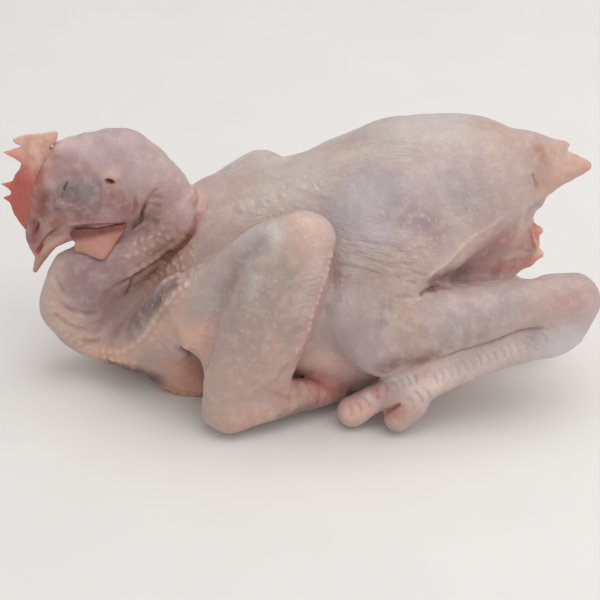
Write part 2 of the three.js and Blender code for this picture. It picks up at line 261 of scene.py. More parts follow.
def tail():
    root = ball([107, SPINE_Y, 110], [19, 15, 18.8])
    tip = tube([[113, SPINE_Y, 109, 13], [126, SPINE_Y, 110, 8.4], [138, SPINE_Y, 110.6, 3]])
    spur = tube([[112, SPINE_Y, 117, 7], [122, SPINE_Y, 120.6, 4], [127.5, SPINE_Y, 122, 2]])
    return blend(4, root, tip, spur)


def vent():
    rim = ball([101, 19, 68.5], [12, 9, 11.5])
    upper = tube([[105, 20, 75.5, 4.5], [111.5, 19.5, 79, 3.4], [116.6, 19, 79, 2.4]])
    lower = tube([[103, 18, 55.5, 3], [111, 17.5, 62, 2.6], [118.4, 17, 66.8, 2.1]])
    skin = web([106, 20, 77], [116, 18.5, 73], [113, 17.5, 62], 2.2)
    return blend(3, rim, upper, lower, skin)


NECK_TURN = [-112.5, 13, 40, 16.4]
LOWER_NECK = [
    [-52, 24, 26, 27],
    [-74, 21, 18, 20],
    [-93, 18, 20.3, 15.2],
    [-109, 15, 28, 14.4],
    NECK_TURN,
]
UPPER_NECK = [
    NECK_TURN,
    [-107, 14, 54.5, 17],
    [-90, 18, 62, 15.2],
    [-75, 24, 71, 14.5],
    [-65, 27, 83, 13.5],
    [-65.5, 27, 94, 12.7],
    [-75, 25, 104.5, 16],
]
SHOULDER_SKIN = [-59, -17, 66]
CROP_FOLD = [-78, -6, 36]


def crop_skin():
    roll = tube([
        [-113.5, 13, 24.5, 6.5],
        [-100, 8, 20.5, 8.6],
        [-88, 2, 21.5, 9.5],
        [*CROP_FOLD, 8.5],
        [-69, -11, 51, 7],
        [*SHOULDER_SKIN, 6],
    ])
    hollow = web([-103, 14, 38], [-68, 23, 50], [-80, 20, 28], 9)
    crop = ball([-60, 5, 27], [23, 21, 25])
    lobe = tube([[-78, 1, 16.6, 7.5], [-64, -5, 10.5, 6.8], [-50, -7, 7.4, 7.4]])
    sheet = web(CROP_FOLD, SHOULDER_SKIN, [-61, -13, 34], 6)
    nape = ball([-57, 20, 85], [8.5, 9, 10.5])
    return blend(9, roll, hollow, crop, lobe, sheet, nape)


LID = [11.6, 15.2, 12.6]


def head():
    crown = ball([-0.6, 1.4, 0], [26.3, 25, 16.6])
    face = ball([20, 9, 0], [22, 18, 13])
    cheek = ball([10, -6, 0], [18, 12, 14])
    brow = ball([19, 14, 0], [11, 9, 14])
    upper_beak = tube([[36, 9.6, 0, 9.6], [46.5, 9.4, 0, 6.4], [52.5, 7.6, 0, 3.1], [57.2, 2.8, 0, 1.4]])
    lower_beak = tube([[35, -0.6, 0, 6.8], [47, 2, 0, 4.2], [57, 0.2, 0, 2.6], [65, -2.2, 0, 1.3]])
    lids = [ball([LID[0], LID[1], side * LID[2]], [5.6, 6.2, 2.6]) for side in (-1, 1)]
    comb_root = tube([
        [-9, 24.6, 0, 2.6],
        [2, 27.5, 0, 3],
        [13, 27, 0, 3.6],
        [20, 24.8, 0, 3.8],
        [28, 21.8, 0, 3.6],
        [36, 18.5, 0, 3.4],
        [44, 13.5, 0, 2.4],
    ])
    skull = blend(7, crown, face, cheek, brow, comb_root)
    return seen_from(to_head, blend(3, blend(2, skull, *lids), blend(1.2, upper_beak, lower_beak)))


SHOULDER = [-54, -14, 60]
ELBOW = [1.5, -22, 100]
WRIST = [-34, -40, 14.8]
HAND_TIP = [19, -20, 9.5]
ARCH_TOP = [-50.5, -27, 46.5]
LEADING_EDGE = [-40, -36, 28]


def wing():
    arm = tube([[*SHOULDER, 12], [-34, -18, 77, 11.5], [-17, -20, 92, 11.5], [*ELBOW, 12.5]])
    forearm = tube(
        [[-1, -22, 98, 13.5], [-8, -28, 80, 21], [-17, -33, 58, 22], [-26, -38, 36, 18.5], [*WRIST, 12.2]],
        [0.15, -0.9, -0.35],
        0.5,
    )
    edge = tube([[6, -22, 98, 9.5], [4, -27, 76, 6.5], [-3, -31, 50, 6.5], [-12, -35, 28, 7]])
    hand = tube(
        [[*WRIST, 12.2], [-18, -36, 16.4, 10.8], [2, -29, 14.6, 7.8], [*HAND_TIP, 4.5]],
        [0.3, 0.7, -0.6],
        0.7,
    )
    shoulder_web = web(SHOULDER_SKIN, [-61, -18, 41], ARCH_TOP)
    arm_web = web(SHOULDER_SKIN, ARCH_TOP, ELBOW, 4.5)
    leading_web = web(ARCH_TOP, LEADING_EDGE, ELBOW)
    return blend(7, arm, forearm, edge, hand, shoulder_web, arm_web, leading_web)


def far_wing():
    near = seen_from(wing_from_far, wing())
    return lambda points: PRESSED * near(points)


KNEE = [42, -24, 51]
HOCK = [131.8, -15, 60.5]
PALM = [50, -36, 21]


def leg():
    drumstick = tube([
        [*KNEE, 24],
        [62, -24, 52.5, 19.5],
        [83, -21, 55.5, 15.8],
        [102, -18, 58.3, 13.4],
        [117, -16, 59.8, 12.4],
        [*HOCK, 12.2],
    ])
    heel = ball([121.5, -21, 47.5], [11.5, 9.5, 9.8])
    return blend(7, drumstick, heel)


def foot():
    shank = tube([
        [124, -22, 47, 8],
        [113, -26, 43, 7.4],
        [95, -30, 39.2, 7.4],
        [74, -34, 32.8, 7.7],
        [59, -36, 26.6, 9.2],
        [*PALM, 10.4],
    ])
    middle = tube([[50, -34, 22, 8.4], [38, -34.5, 17.4, 6.4], [25.5, -36, 9.8, 7.5]])
    outer = tube([[54, -39, 17.5, 8], [47.4, -40.5, 9.8, 6.9]])
    inner = tube([[50, -30, 18, 7.5], [40, -22, 9, 6.5]])
    return blend(3, shank, middle, outer, inner)


THROAT_PIXELS = np.array([(59, 249.5), (72.5, 243.6)])
THROAT_HALF = 1.4  # half the width in mm of the gap between the jaw and the neck


def throat_gap():
    """The gap between the jaw and the neck, along the photograph's lines of sight."""
    def field(points):
        offset = points - EYE
        depth = offset @ VIEW
        seen = np.column_stack([offset @ VIEW_RIGHT, -(offset @ VIEW_UP)]) / depth[:, None]
        apart = along_segment(PICTURE / 2 + FOCAL_PIXELS * seen, *THROAT_PIXELS)[1]
        return np.sqrt((apart ** 2).sum(1)) * depth / FOCAL_PIXELS - THROAT_HALF

    return field


def flesh():
    full = blend(14, torso(), thigh(), seen_from(mirror, thigh()))
    hollowed = carve(6, carve(6, full, flank()), seen_from(mirror, flank()))
    folded = blend(5, hollowed, thigh_fold(), seen_from(mirror, thigh_fold()))
    body = blend(4, blend(5, folded, tail()), vent())
    with_neck = blend(14, body, tube(LOWER_NECK))
    with_crop = blend(7, with_neck, crop_skin())
    with_legs = blend(10, with_crop, leg(), seen_from(leg_from_far, leg()))
    with_wings = blend(4, with_legs, wing(), far_wing())
    upper_end = blend(5, tube(UPPER_NECK), head())
    whole = blend(4, with_wings, upper_end, foot(), seen_from(leg_from_far, foot()))
    return carve(1.2, whole, throat_gap())


def on_ground(field):
    """A field that is cut off flat at the ground."""
    return lambda points: np.maximum(field(points), GROUND - points[:, 2])


# Meshing.

AT_ONCE = 6000  # points that a field is read at in one go
BLOCK = 4  # grid steps in one block of the coarse search
BLOCK_MARGIN = 1.35  # how far from a block's middle the surface may be, in half diagonals
SLOPE_STEP = 0.15  # how far from a point its slope is read
LONGEST_MOVE = 2.0  # how far a point is settled in one step
RELAX_ROUNDS = 3


def read(field, points):
    """The field at the points."""
    parts = [field(points[i:i + AT_ONCE]) for i in range(0, len(points), AT_ONCE)]
    return np.concatenate(parts) if parts else np.zeros(0)


def slope(field, points):
    """The field's gradient, from four readings round each point."""
    total = np.zeros_like(points)
    for corner in ((1, -1, -1), (-1, -1, 1), (-1, 1, -1), (1, 1, 1)):
        corner = np.array(corner, float)
        total += corner * read(field, points + SLOPE_STEP * corner)[:, None]
    return total / (4 * SLOPE_STEP)


def straight_out(field, points):
    """The field's outward directions."""
    g = slope(field, points)
    return g / np.maximum(np.linalg.norm(g, axis=1), 1e-6)[:, None]


def settle(field, points, outward, steps=2):
    """Moves points onto the field's zero surface along their outward directions."""
    for _ in range(steps):
        points = points - outward * np.clip(read(field, points), -LONGEST_MOVE, LONGEST_MOVE)[:, None]
    return points


def mesh_outward(points, faces):
    """Each point's outward direction, from the faces round it."""
    a, b, c = points[faces].transpose(1, 0, 2)
    facing = np.cross(b - a, c - a)
    total = [np.bincount(faces.ravel(), facing[:, axis].repeat(3), len(points)) for axis in range(3)]
    total = np.stack(total, 1)
    return total / np.maximum(np.linalg.norm(total, axis=1), 1e-9)[:, None]


def sampled(field, low, high, pitch):
    """The field on a grid. Blocks far from the surface hold the reading at their middle."""
    low = np.array(low, float)
    blocks = np.ceil((np.array(high) - low) / (pitch * BLOCK)).astype(int)
    middles = low + (np.indices(blocks).reshape(3, -1).T + 0.5) * pitch * BLOCK
    coarse = read(field, middles).reshape(blocks)
    close = abs(coarse) < BLOCK_MARGIN * BLOCK * pitch * math.sqrt(3) / 2
    values = coarse.repeat(BLOCK, 0).repeat(BLOCK, 1).repeat(BLOCK, 2)
    wanted = close.repeat(BLOCK, 0).repeat(BLOCK, 1).repeat(BLOCK, 2)
    for axis in range(3):
        wanted |= np.roll(wanted, 1, axis)
    places = np.argwhere(wanted)
    values[tuple(places.T)] = read(field, low + places * pitch)
    return values


def surface(field, low, high, pitch):
    """Points and triangles round the field's zero surface, one point in each cell that it crosses."""
    inside = sampled(field, low, high, pitch) < 0
    corners = [inside[tuple(slice(o, o + n - 1) for o, n in zip(corner, inside.shape))]
               for corner in itertools.product((0, 1), repeat=3)]
    crossed = np.logical_or.reduce(corners) & ~np.logical_and.reduce(corners)
    number = np.full(crossed.shape, -1)
    number[crossed] = np.arange(crossed.sum())
    points = np.array(low, float) + (np.argwhere(crossed) + 0.5) * pitch
    quads = []
    for axis in range(3):
        first, second = (axis + 1) % 3, (axis + 2) % 3
        change = np.diff(inside.astype(np.int8), axis=axis)
        for sign in (1, -1):
            at = np.argwhere(change == sign)
            ring = []
            for a, b in ((1, 1), (0, 1), (0, 0), (1, 0)):
                cell = at.copy()
                cell[:, first] -= a
                cell[:, second] -= b
                ring.append(number[tuple(cell.T)])
            quads.append(np.stack(ring if sign < 0 else ring[::-1], 1))
    quads = np.concatenate(quads)
    return points, np.concatenate([quads[:, [0, 1, 2]], quads[:, [0, 2, 3]]])


def edge_list(faces):
    """The mesh's edges, and the number of the edge from each face's corners 0-1, 1-2 and 2-0."""
    edges = np.sort(faces[:, [[0, 1], [1, 2], [2, 0]]].reshape(-1, 2), axis=1)
    edges, inverse = np.unique(edges, axis=0, return_inverse=True)
    return edges, inverse.reshape(-1, 3)


def relaxed(points, faces, share=0.5):
    """Moves each point part of the way to the mean of its neighbours."""
    edges, _ = edge_list(faces)
    first, second = np.vstack([edges, edges[:, ::-1]]).T
    count = np.maximum(np.bincount(first, minlength=len(points)), 1)
    mean = [np.bincount(first, points[second, axis], len(points)) / count for axis in range(3)]
    return points + share * (np.stack(mean, 1) - points)


def meshed(field, low, high, pitch, steps):
    """Evenly spread points and triangles on the field's zero surface."""
    points, faces = surface(field, low, high, pitch)
    for _ in range(RELAX_ROUNDS):
        points = relaxed(points, faces)
        points = settle(field, points, mesh_outward(points, faces), steps)
    return points, faces


def split(points, faces, longest):
    """Halves each edge that is longer than longest says at its middle."""
    edges, of_face = edge_list(faces)
    ends = points[edges]
    middles = ends.mean(1)
    halved = np.linalg.norm(ends[:, 0] - ends[:, 1], axis=1) > longest(middles)
    number = np.full(len(edges), -1)
    number[halved] = len(points) + np.arange(halved.sum())
    mids = number[of_face]
    count = (mids >= 0).sum(1)
    turn = np.where(count == 1, (mids >= 0).argmax(1), (mids < 0).argmax(1) + 1) % 3
    order = (turn[:, None] + np.arange(3)) % 3
    corner = np.take_along_axis(faces, order, 1)
    mids = np.take_along_axis(mids, order, 1)
    a, b, c = corner.T
    ab, bc, ca = mids.T
    patterns = {
        0: [(a, b, c)],
        1: [(a, ab, c), (ab, b, c)],
        2: [(ab, b, bc), (a, ab, bc), (a, bc, c)],
        3: [(a, ab, ca), (ab, b, bc), (ca, bc, c), (ab, bc, ca)],
    }
    new = [np.stack(face, 1)[count == n] for n, made in patterns.items() for face in made]
    return np.vstack([points, middles[halved]]), np.concatenate(new)


# What the camera sees. A line of sight starts at the nearest depth and goes on in steps of a share
# of the distance that is still free.
NEAREST_DEPTH = 780
RAY_STEPS = 60
RAY_SHARE = 0.8
LEAST_STEP = 0.4  # mm, so that a line of sight gets past an edge that it only grazes


def on_skin(field, pixels):
    """The places on the skin that show at the photograph's pixels, or nearly do."""
    across, down = (np.array(pixels, float) - PICTURE / 2).T / FOCAL_PIXELS
    rays = VIEW + across[:, None] * VIEW_RIGHT - down[:, None] * VIEW_UP
    depth = np.full(len(rays), float(NEAREST_DEPTH))
    best, nearest = depth.copy(), np.full(len(rays), np.inf)
    for _ in range(RAY_STEPS):
        d = read(field, EYE + rays * depth[:, None])
        nearer = (d < nearest) & (nearest > 0)
        best[nearer], nearest[nearer] = depth[nearer], d[nearer]
        depth += np.maximum(RAY_SHARE * d, LEAST_STEP)
    points = EYE + rays * best[:, None]
    return settle(field, points, straight_out(field, points), 3)


# Marks. Each has the part that it lies on, its pixels, its width, and its height in mm, which is
# negative for a groove, then its tint and the tint's strength. A groove's darker tint is mostly
# painted shade in the crease. A mark that lies "once" isn't repeated on the other side.

TWINS = {"head": mirror_head, "wing": wing_to_far, "leg": leg_to_far, "body": mirror}

# Darker tints for the grooves below: painted shade in the creases.
SLIT_SHADE = (92, 28, 20)
LIP = (138, 70, 66)
CREASE_SHADE = (146, 104, 96)
FAINT_SHADE = (156, 128, 120)
GREY_SHADE = (122, 102, 100)
ROSE = (184, 134, 128)
PEACH = (222, 188, 168)
PALE = (226, 212, 202)

CREASES = [
    # Eye and ear.
    ("head", [(63.4, 191.5), (65, 186), (68.4, 181)], 0.62, -1.0, (52, 44, 44), 0.95),
    ("head", [(63.6, 190), (62, 195), (61, 199)], 0.7, -0.6, (104, 92, 92), 0.5),
    ("head", [(59, 198), (57.8, 191), (60, 184), (65, 178.5)], 0.7, -0.5, GREY_SHADE, 0.35),
    ("head", [(61, 200), (68, 203), (76, 201.5), (81, 195)], 0.7, -0.5, GREY_SHADE, 0.35),
    ("head", [(104, 180), (107.5, 179.9), (111.5, 181), (116, 184)], 0.7, -1.4, SLIT_SHADE, 1.0),
    ("head", [(105.5, 181), (109, 181.4), (113.5, 182.8)], 1.0, -2.4, SLIT_SHADE, 1.0),
    ("head", [(102.5, 182), (104.5, 176.5), (110, 174), (116, 177), (118.5, 183)], 1.9, 0.6, PALE, 0.5),
    # Nostril and mouth.
    ("head", [(38.4, 221), (37.4, 227), (33, 234.5)], 0.8, -1.4, (124, 44, 44), 0.95),
    ("head", [(32, 221), (33, 227), (29.5, 232)], 1.5, 0.6, ROSE, 0.35),
    ("head", [(36.5, 254), (40, 248), (42.5, 243), (47.5, 236.5), (54, 231), (62, 226.5)], 0.7, -1.2,
     LIP, 0.8),
    ("head", [(36.5, 255), (40, 248), (44, 240)], 0.8, -0.3, (178, 66, 66), 0.7),
    ("head", [(62, 226.5), (70, 224), (80, 223), (92, 221.5), (104, 222), (114, 221.5), (122, 223)],
     1.1, 0.8, (190, 150, 146), 0.4),
    ("head", [(72, 227), (84, 226), (96, 225), (110, 223.5), (121, 224.5)], 1.0, -1.2,
     (122, 76, 72), 0.75),
    # Folds of the face and jaw.
    ("head", [(53, 200), (60, 202.5), (68, 203.5), (75, 207)], 1.2, 0.9, (176, 144, 142), 0.4),
    ("head", [(50, 206), (58, 209.5), (68, 211), (78, 214), (84, 219)], 1.3, -0.9, (128, 90, 88), 0.5),
    ("head", [(56, 214), (66, 217), (76, 219)], 1.3, 0.7, (166, 124, 120), 0.35),
    ("head", [(99.8, 180), (99.4, 190), (100.5, 202), (98.5, 212)], 1.0, -0.7, (118, 100, 104), 0.4),
    ("head", [(110, 190), (112, 201), (111, 213)], 1.2, -0.5, (144, 100, 98), 0.35),
    ("head", [(121, 189), (123, 201), (122.5, 213)], 1.3, -0.5, (142, 96, 94), 0.35),
    ("head", [(131, 193), (131.8, 203), (131, 214)], 0.9, 0.7, (186, 156, 152), 0.45),
    ("head", [(138, 199), (139.6, 207), (138, 215)], 1.0, 0.6, (184, 154, 150), 0.35),
    ("head", [(134.5, 196), (136, 206), (135, 215)], 0.9, -0.6, (138, 100, 98), 0.4),
    ("head", [(48, 163), (56, 158), (62, 160)], 1.6, -0.5, (150, 118, 116), 0.35),
    ("head", [(58, 172), (70, 168), (84, 169)], 2.2, 0.6, (190, 164, 162), 0.3),
    ("once", [(158.5, 187), (153, 194), (147.5, 202), (144, 209)], 1.3, -0.9, (146, 112, 110), 0.4),
    ("once", [(148, 201), (143, 211), (141.5, 218), (135, 224.5), (127, 230)], 0.9, -1.7,
     (108, 64, 60), 0.75),
    ("once", [(150, 199), (157, 197.5), (163, 200)], 1.3, -0.9, CREASE_SHADE, 0.4),
    ("once", [(146, 206), (155, 205), (163, 209)], 1.3, -0.8, CREASE_SHADE, 0.35),
    ("once", [(143, 216), (152, 219), (160, 225)], 1.3, -0.9, CREASE_SHADE, 0.4),
    ("once", [(136, 226), (146, 230), (153, 237)], 1.3, -0.8, CREASE_SHADE, 0.35),
    # Nape.
    ("once", [(186, 190), (194, 190), (200, 195), (202, 202), (200, 210), (196, 217)], 1.9, 1.0,
     (212, 166, 160), 0.4),
    ("once", [(206, 199), (206, 206), (202.5, 214), (198, 221)], 1.5, -0.9, (172, 132, 126), 0.35),
    ("once", [(190, 206), (195, 205), (198, 206)], 1.8, -0.4, (178, 136, 130), 0.4),
    ("once", [(176, 229), (186, 230), (196, 222)], 1.8, 0.8, (184, 146, 140), 0.3),
    # The neck's main crease with its branch, and the folds round it; its dark tint is painted shade.
    ("once", [(198, 219), (194, 228), (188, 237), (181, 245), (172, 252), (162, 259.5), (152, 266),
              (142, 272), (134, 277), (122, 284), (110, 289)], 1.3, -3.0, (128, 72, 56), 0.85),
    ("once", [(134, 277), (131.5, 284), (129, 290), (124, 297)], 0.9, -1.4, (120, 72, 58), 0.65),
    ("once", [(118, 289), (108, 293), (98, 294)], 2.6, -0.8, (130, 104, 106), 0.35),
    # Rings of the neck's loop.
    ("once", [(55, 273), (59, 284), (65, 295)], 1.3, -0.7, (148, 122, 114), 0.4),
    ("once", [(49, 277), (55, 288), (62, 297), (70, 302)], 1.6, 0.9, PEACH, 0.35),
    ("once", [(58, 301), (66, 307), (76, 311.5), (88, 313.5), (104, 311)], 1.4, -1.1,
     (140, 112, 108), 0.5),
    ("once", [(62, 309), (74, 316), (90, 319), (108, 316)], 1.7, 0.9, (190, 164, 152), 0.35),
    ("once", [(52, 308), (58, 317), (68, 324), (80, 328.5), (92, 330)], 1.4, -0.9, (150, 120, 106), 0.4),
    ("once", [(79, 338), (87, 340.5), (95, 341), (102, 338)], 1.1, -0.9, (172, 118, 96), 0.45),
    ("once", [(78, 334), (88, 336), (98, 336.5)], 1.5, 0.7, PEACH, 0.35),
    ("once", [(66, 256), (69, 266), (75, 276)], 1.4, -0.5, (156, 128, 122), 0.25),
    # The ridge of skin from the shoulder to the throat.
    ("once", [(196, 279), (184, 286), (174, 295), (163, 308), (154, 320), (144, 334), (133, 345),
              (120, 350), (105, 350), (88, 346)], 2.0, 1.5, (216, 188, 172), 0.55),
    # The groove's tint is painted shade on the ridge's shaded side.
    ("once", [(158, 303), (147, 314), (139, 325), (131, 335), (120, 341)], 3.4, -0.9,
     (132, 110, 114), 0.4),
    # Wing.
    ("wing", [(276, 222), (253, 230), (232, 246), (218, 258), (199, 275), (180, 291)], 1.8, 0.7,
     (206, 188, 178), 0.35),
    ("wing", [(332, 250), (326, 268), (319, 290), (312, 312), (305, 335), (298, 352), (290, 370)],
     2.0, 0.7, (208, 170, 162), 0.45),
    ("wing", [(318, 272), (311, 292), (303, 314), (294, 336), (286, 352)], 2.6, -0.6,
     (170, 148, 144), 0.3),
    ("wing", [(292, 360), (284, 371), (275, 382), (264, 392)], 1.3, -0.8, (182, 136, 128), 0.35),
    ("wing", [(263, 386), (259, 398), (258, 410)], 2.6, -0.4, (192, 156, 146), 0.25),
    ("wing", [(270, 391), (279, 396), (290, 398), (298, 394.5), (306, 394.5), (315, 397), (324, 399.5)],
     1.2, -0.8, (178, 130, 118), 0.35),
    ("wing", [(258, 272), (250, 292), (243, 318), (236, 345)], 3.4, 0.8, (180, 166, 158), 0.2),
    ("wing", [(240, 268), (228, 290), (222, 312)], 3.4, -0.9, (150, 138, 138), 0.4),
    ("wing", [(262, 284), (268, 300), (262, 322)], 3.4, -0.5, (158, 142, 138), 0.3),
    ("wing", [(203, 357), (206, 372), (205, 392), (202, 408)], 1.6, 0.9, (196, 166, 156), 0.4),
    # The arch's rim under the wing: its pale tint is a painted highlight.
    ("once", [(170, 351), (178, 348), (188, 347), (198, 349), (204, 359)], 1.5, 0.4, PEACH, 0.4),
    ("once", [(162, 389), (174, 391), (188, 396), (200, 402)], 1.4, 0.8, (200, 150, 124), 0.5),
    # Thigh, flank and belly.
    ("body", [(522, 206), (503, 217), (486, 229), (475, 235), (460, 249), (444, 265), (435, 271.5),
              (427, 280), (420, 292)], 1.2, 0.9, (214, 190, 180), 0.5),
    ("leg", [(419, 298), (424, 292), (437, 288.5), (455, 286)], 0.9, -1.6, (108, 72, 66), 0.65),
    ("leg", [(455, 286), (475, 284), (500, 281), (530, 279)], 0.9, -0.8, (140, 96, 92), 0.4),
    ("leg", [(392, 298), (388.8, 305), (389.5, 316)], 1.4, -0.5, (170, 132, 122), 0.35),
    ("leg", [(391, 296.5), (398, 297.5), (408, 298), (417, 299)], 1.0, -0.45, (176, 140, 130), 0.25),
    ("body", [(357, 240), (366, 242), (375, 244), (386, 244.5), (400, 250), (412, 256)], 0.9, -0.4,
     (160, 142, 136), 0.3),
    ("body", [(342, 256), (352, 253), (366, 254)], 0.8, -0.25, FAINT_SHADE, 0.2),
    ("body", [(359, 260), (375, 261), (387, 266), (395, 269)], 0.9, -0.35, (160, 140, 134), 0.25),
    ("body", [(332, 265), (345, 265), (356, 267), (375, 272), (386, 277)], 0.9, -0.5,
     (150, 132, 128), 0.35),
    ("body", [(410, 270), (419, 274), (429, 275)], 0.8, -0.5, (146, 122, 114), 0.35),
    ("body", [(404, 282), (411, 282), (417, 283.5)], 0.8, -0.4, (150, 124, 116), 0.3),
    ("body", [(398, 262), (408, 264), (420, 264)], 0.8, -0.25, FAINT_SHADE, 0.2),
    ("body", [(394, 275), (400, 277), (405, 276)], 0.8, -0.25, FAINT_SHADE, 0.2),
    ("body", [(336, 274), (344, 277), (352, 274)], 0.8, -0.3, FAINT_SHADE, 0.2),
    ("body", [(531, 171), (533, 178), (535.5, 184), (536, 190)], 0.7, -0.8, (172, 118, 98), 0.45),
    ("body", [(528.5, 170), (531, 178), (533, 187)], 1.2, 0.5, (214, 170, 160), 0.45),
    # Vent.
    ("once", [(529.5, 224), (531, 231), (534, 241), (537.5, 252)], 0.9, 0.9, (212, 178, 164), 0.5),
    ("once", [(512, 248), (518, 248.5), (526, 250.5), (532, 252)], 0.8, -0.4, (164, 120, 114), 0.3),
    ("once", [(510, 231), (516, 230), (524, 232)], 0.9, -0.25, (150, 112, 108), 0.25),
    ("once", [(498, 262), (508, 258), (520, 256), (532, 257)], 1.3, 0.7, (184, 140, 132), 0.35),
    # Hock, shank and toes.
    ("leg", [(424, 363), (437, 359.5), (450, 355), (472, 348), (495, 341), (513, 334), (522, 331),
             (534, 329), (560, 328)], 0.9, -1.8, (126, 84, 82), 0.65),
    ("leg", [(533, 335), (541, 332), (548, 337), (546, 345), (537, 348), (531, 343), (533, 335)],
     0.9, 0.4, (172, 170, 176), 0.3),
    ("leg", [(376, 385), (378, 392), (377, 400)], 0.7, -0.4, (206, 124, 124), 0.5),
    ("leg", [(385, 381), (387, 388), (386, 396)], 0.7, -0.35, (210, 132, 130), 0.45),
    ("leg", [(402, 402.5), (396, 407), (389, 410), (382.5, 411.5)], 1.0, -1.7, (140, 72, 66), 0.65),
    ("leg", [(420, 386), (428, 392), (431, 400)], 0.8, -0.5, (150, 138, 138), 0.35),
    ("leg", [(412, 390), (420, 396), (424, 405)], 0.8, -0.5, (150, 138, 138), 0.35),
    ("leg", [(405, 396), (412, 402), (414, 411)], 0.8, -0.4, (158, 140, 136), 0.3),
]

# Rows of short creases across a path: the part, the path's pixels, the steps and half lengths in
# pixels, then each crease's width, height, tint (painted shade in it) and strength.
RUNGS = [
    ("leg", [(430, 380), (452, 372), (480, 361), (510, 350), (536, 342)], 8, 7, 0.7, -0.28,
     (176, 162, 156), 0.35),
    ("leg", [(345, 411), (356, 408), (368, 400)], 9, 8, 0.7, -0.4, (172, 134, 124), 0.4),
    ("leg", [(391, 388), (400, 383), (414, 378)], 7, 8, 0.7, -0.35, (174, 146, 140), 0.3),
    ("leg", [(392, 421), (400, 417)], 7, 7, 0.7, -0.35, (170, 138, 128), 0.3),
]
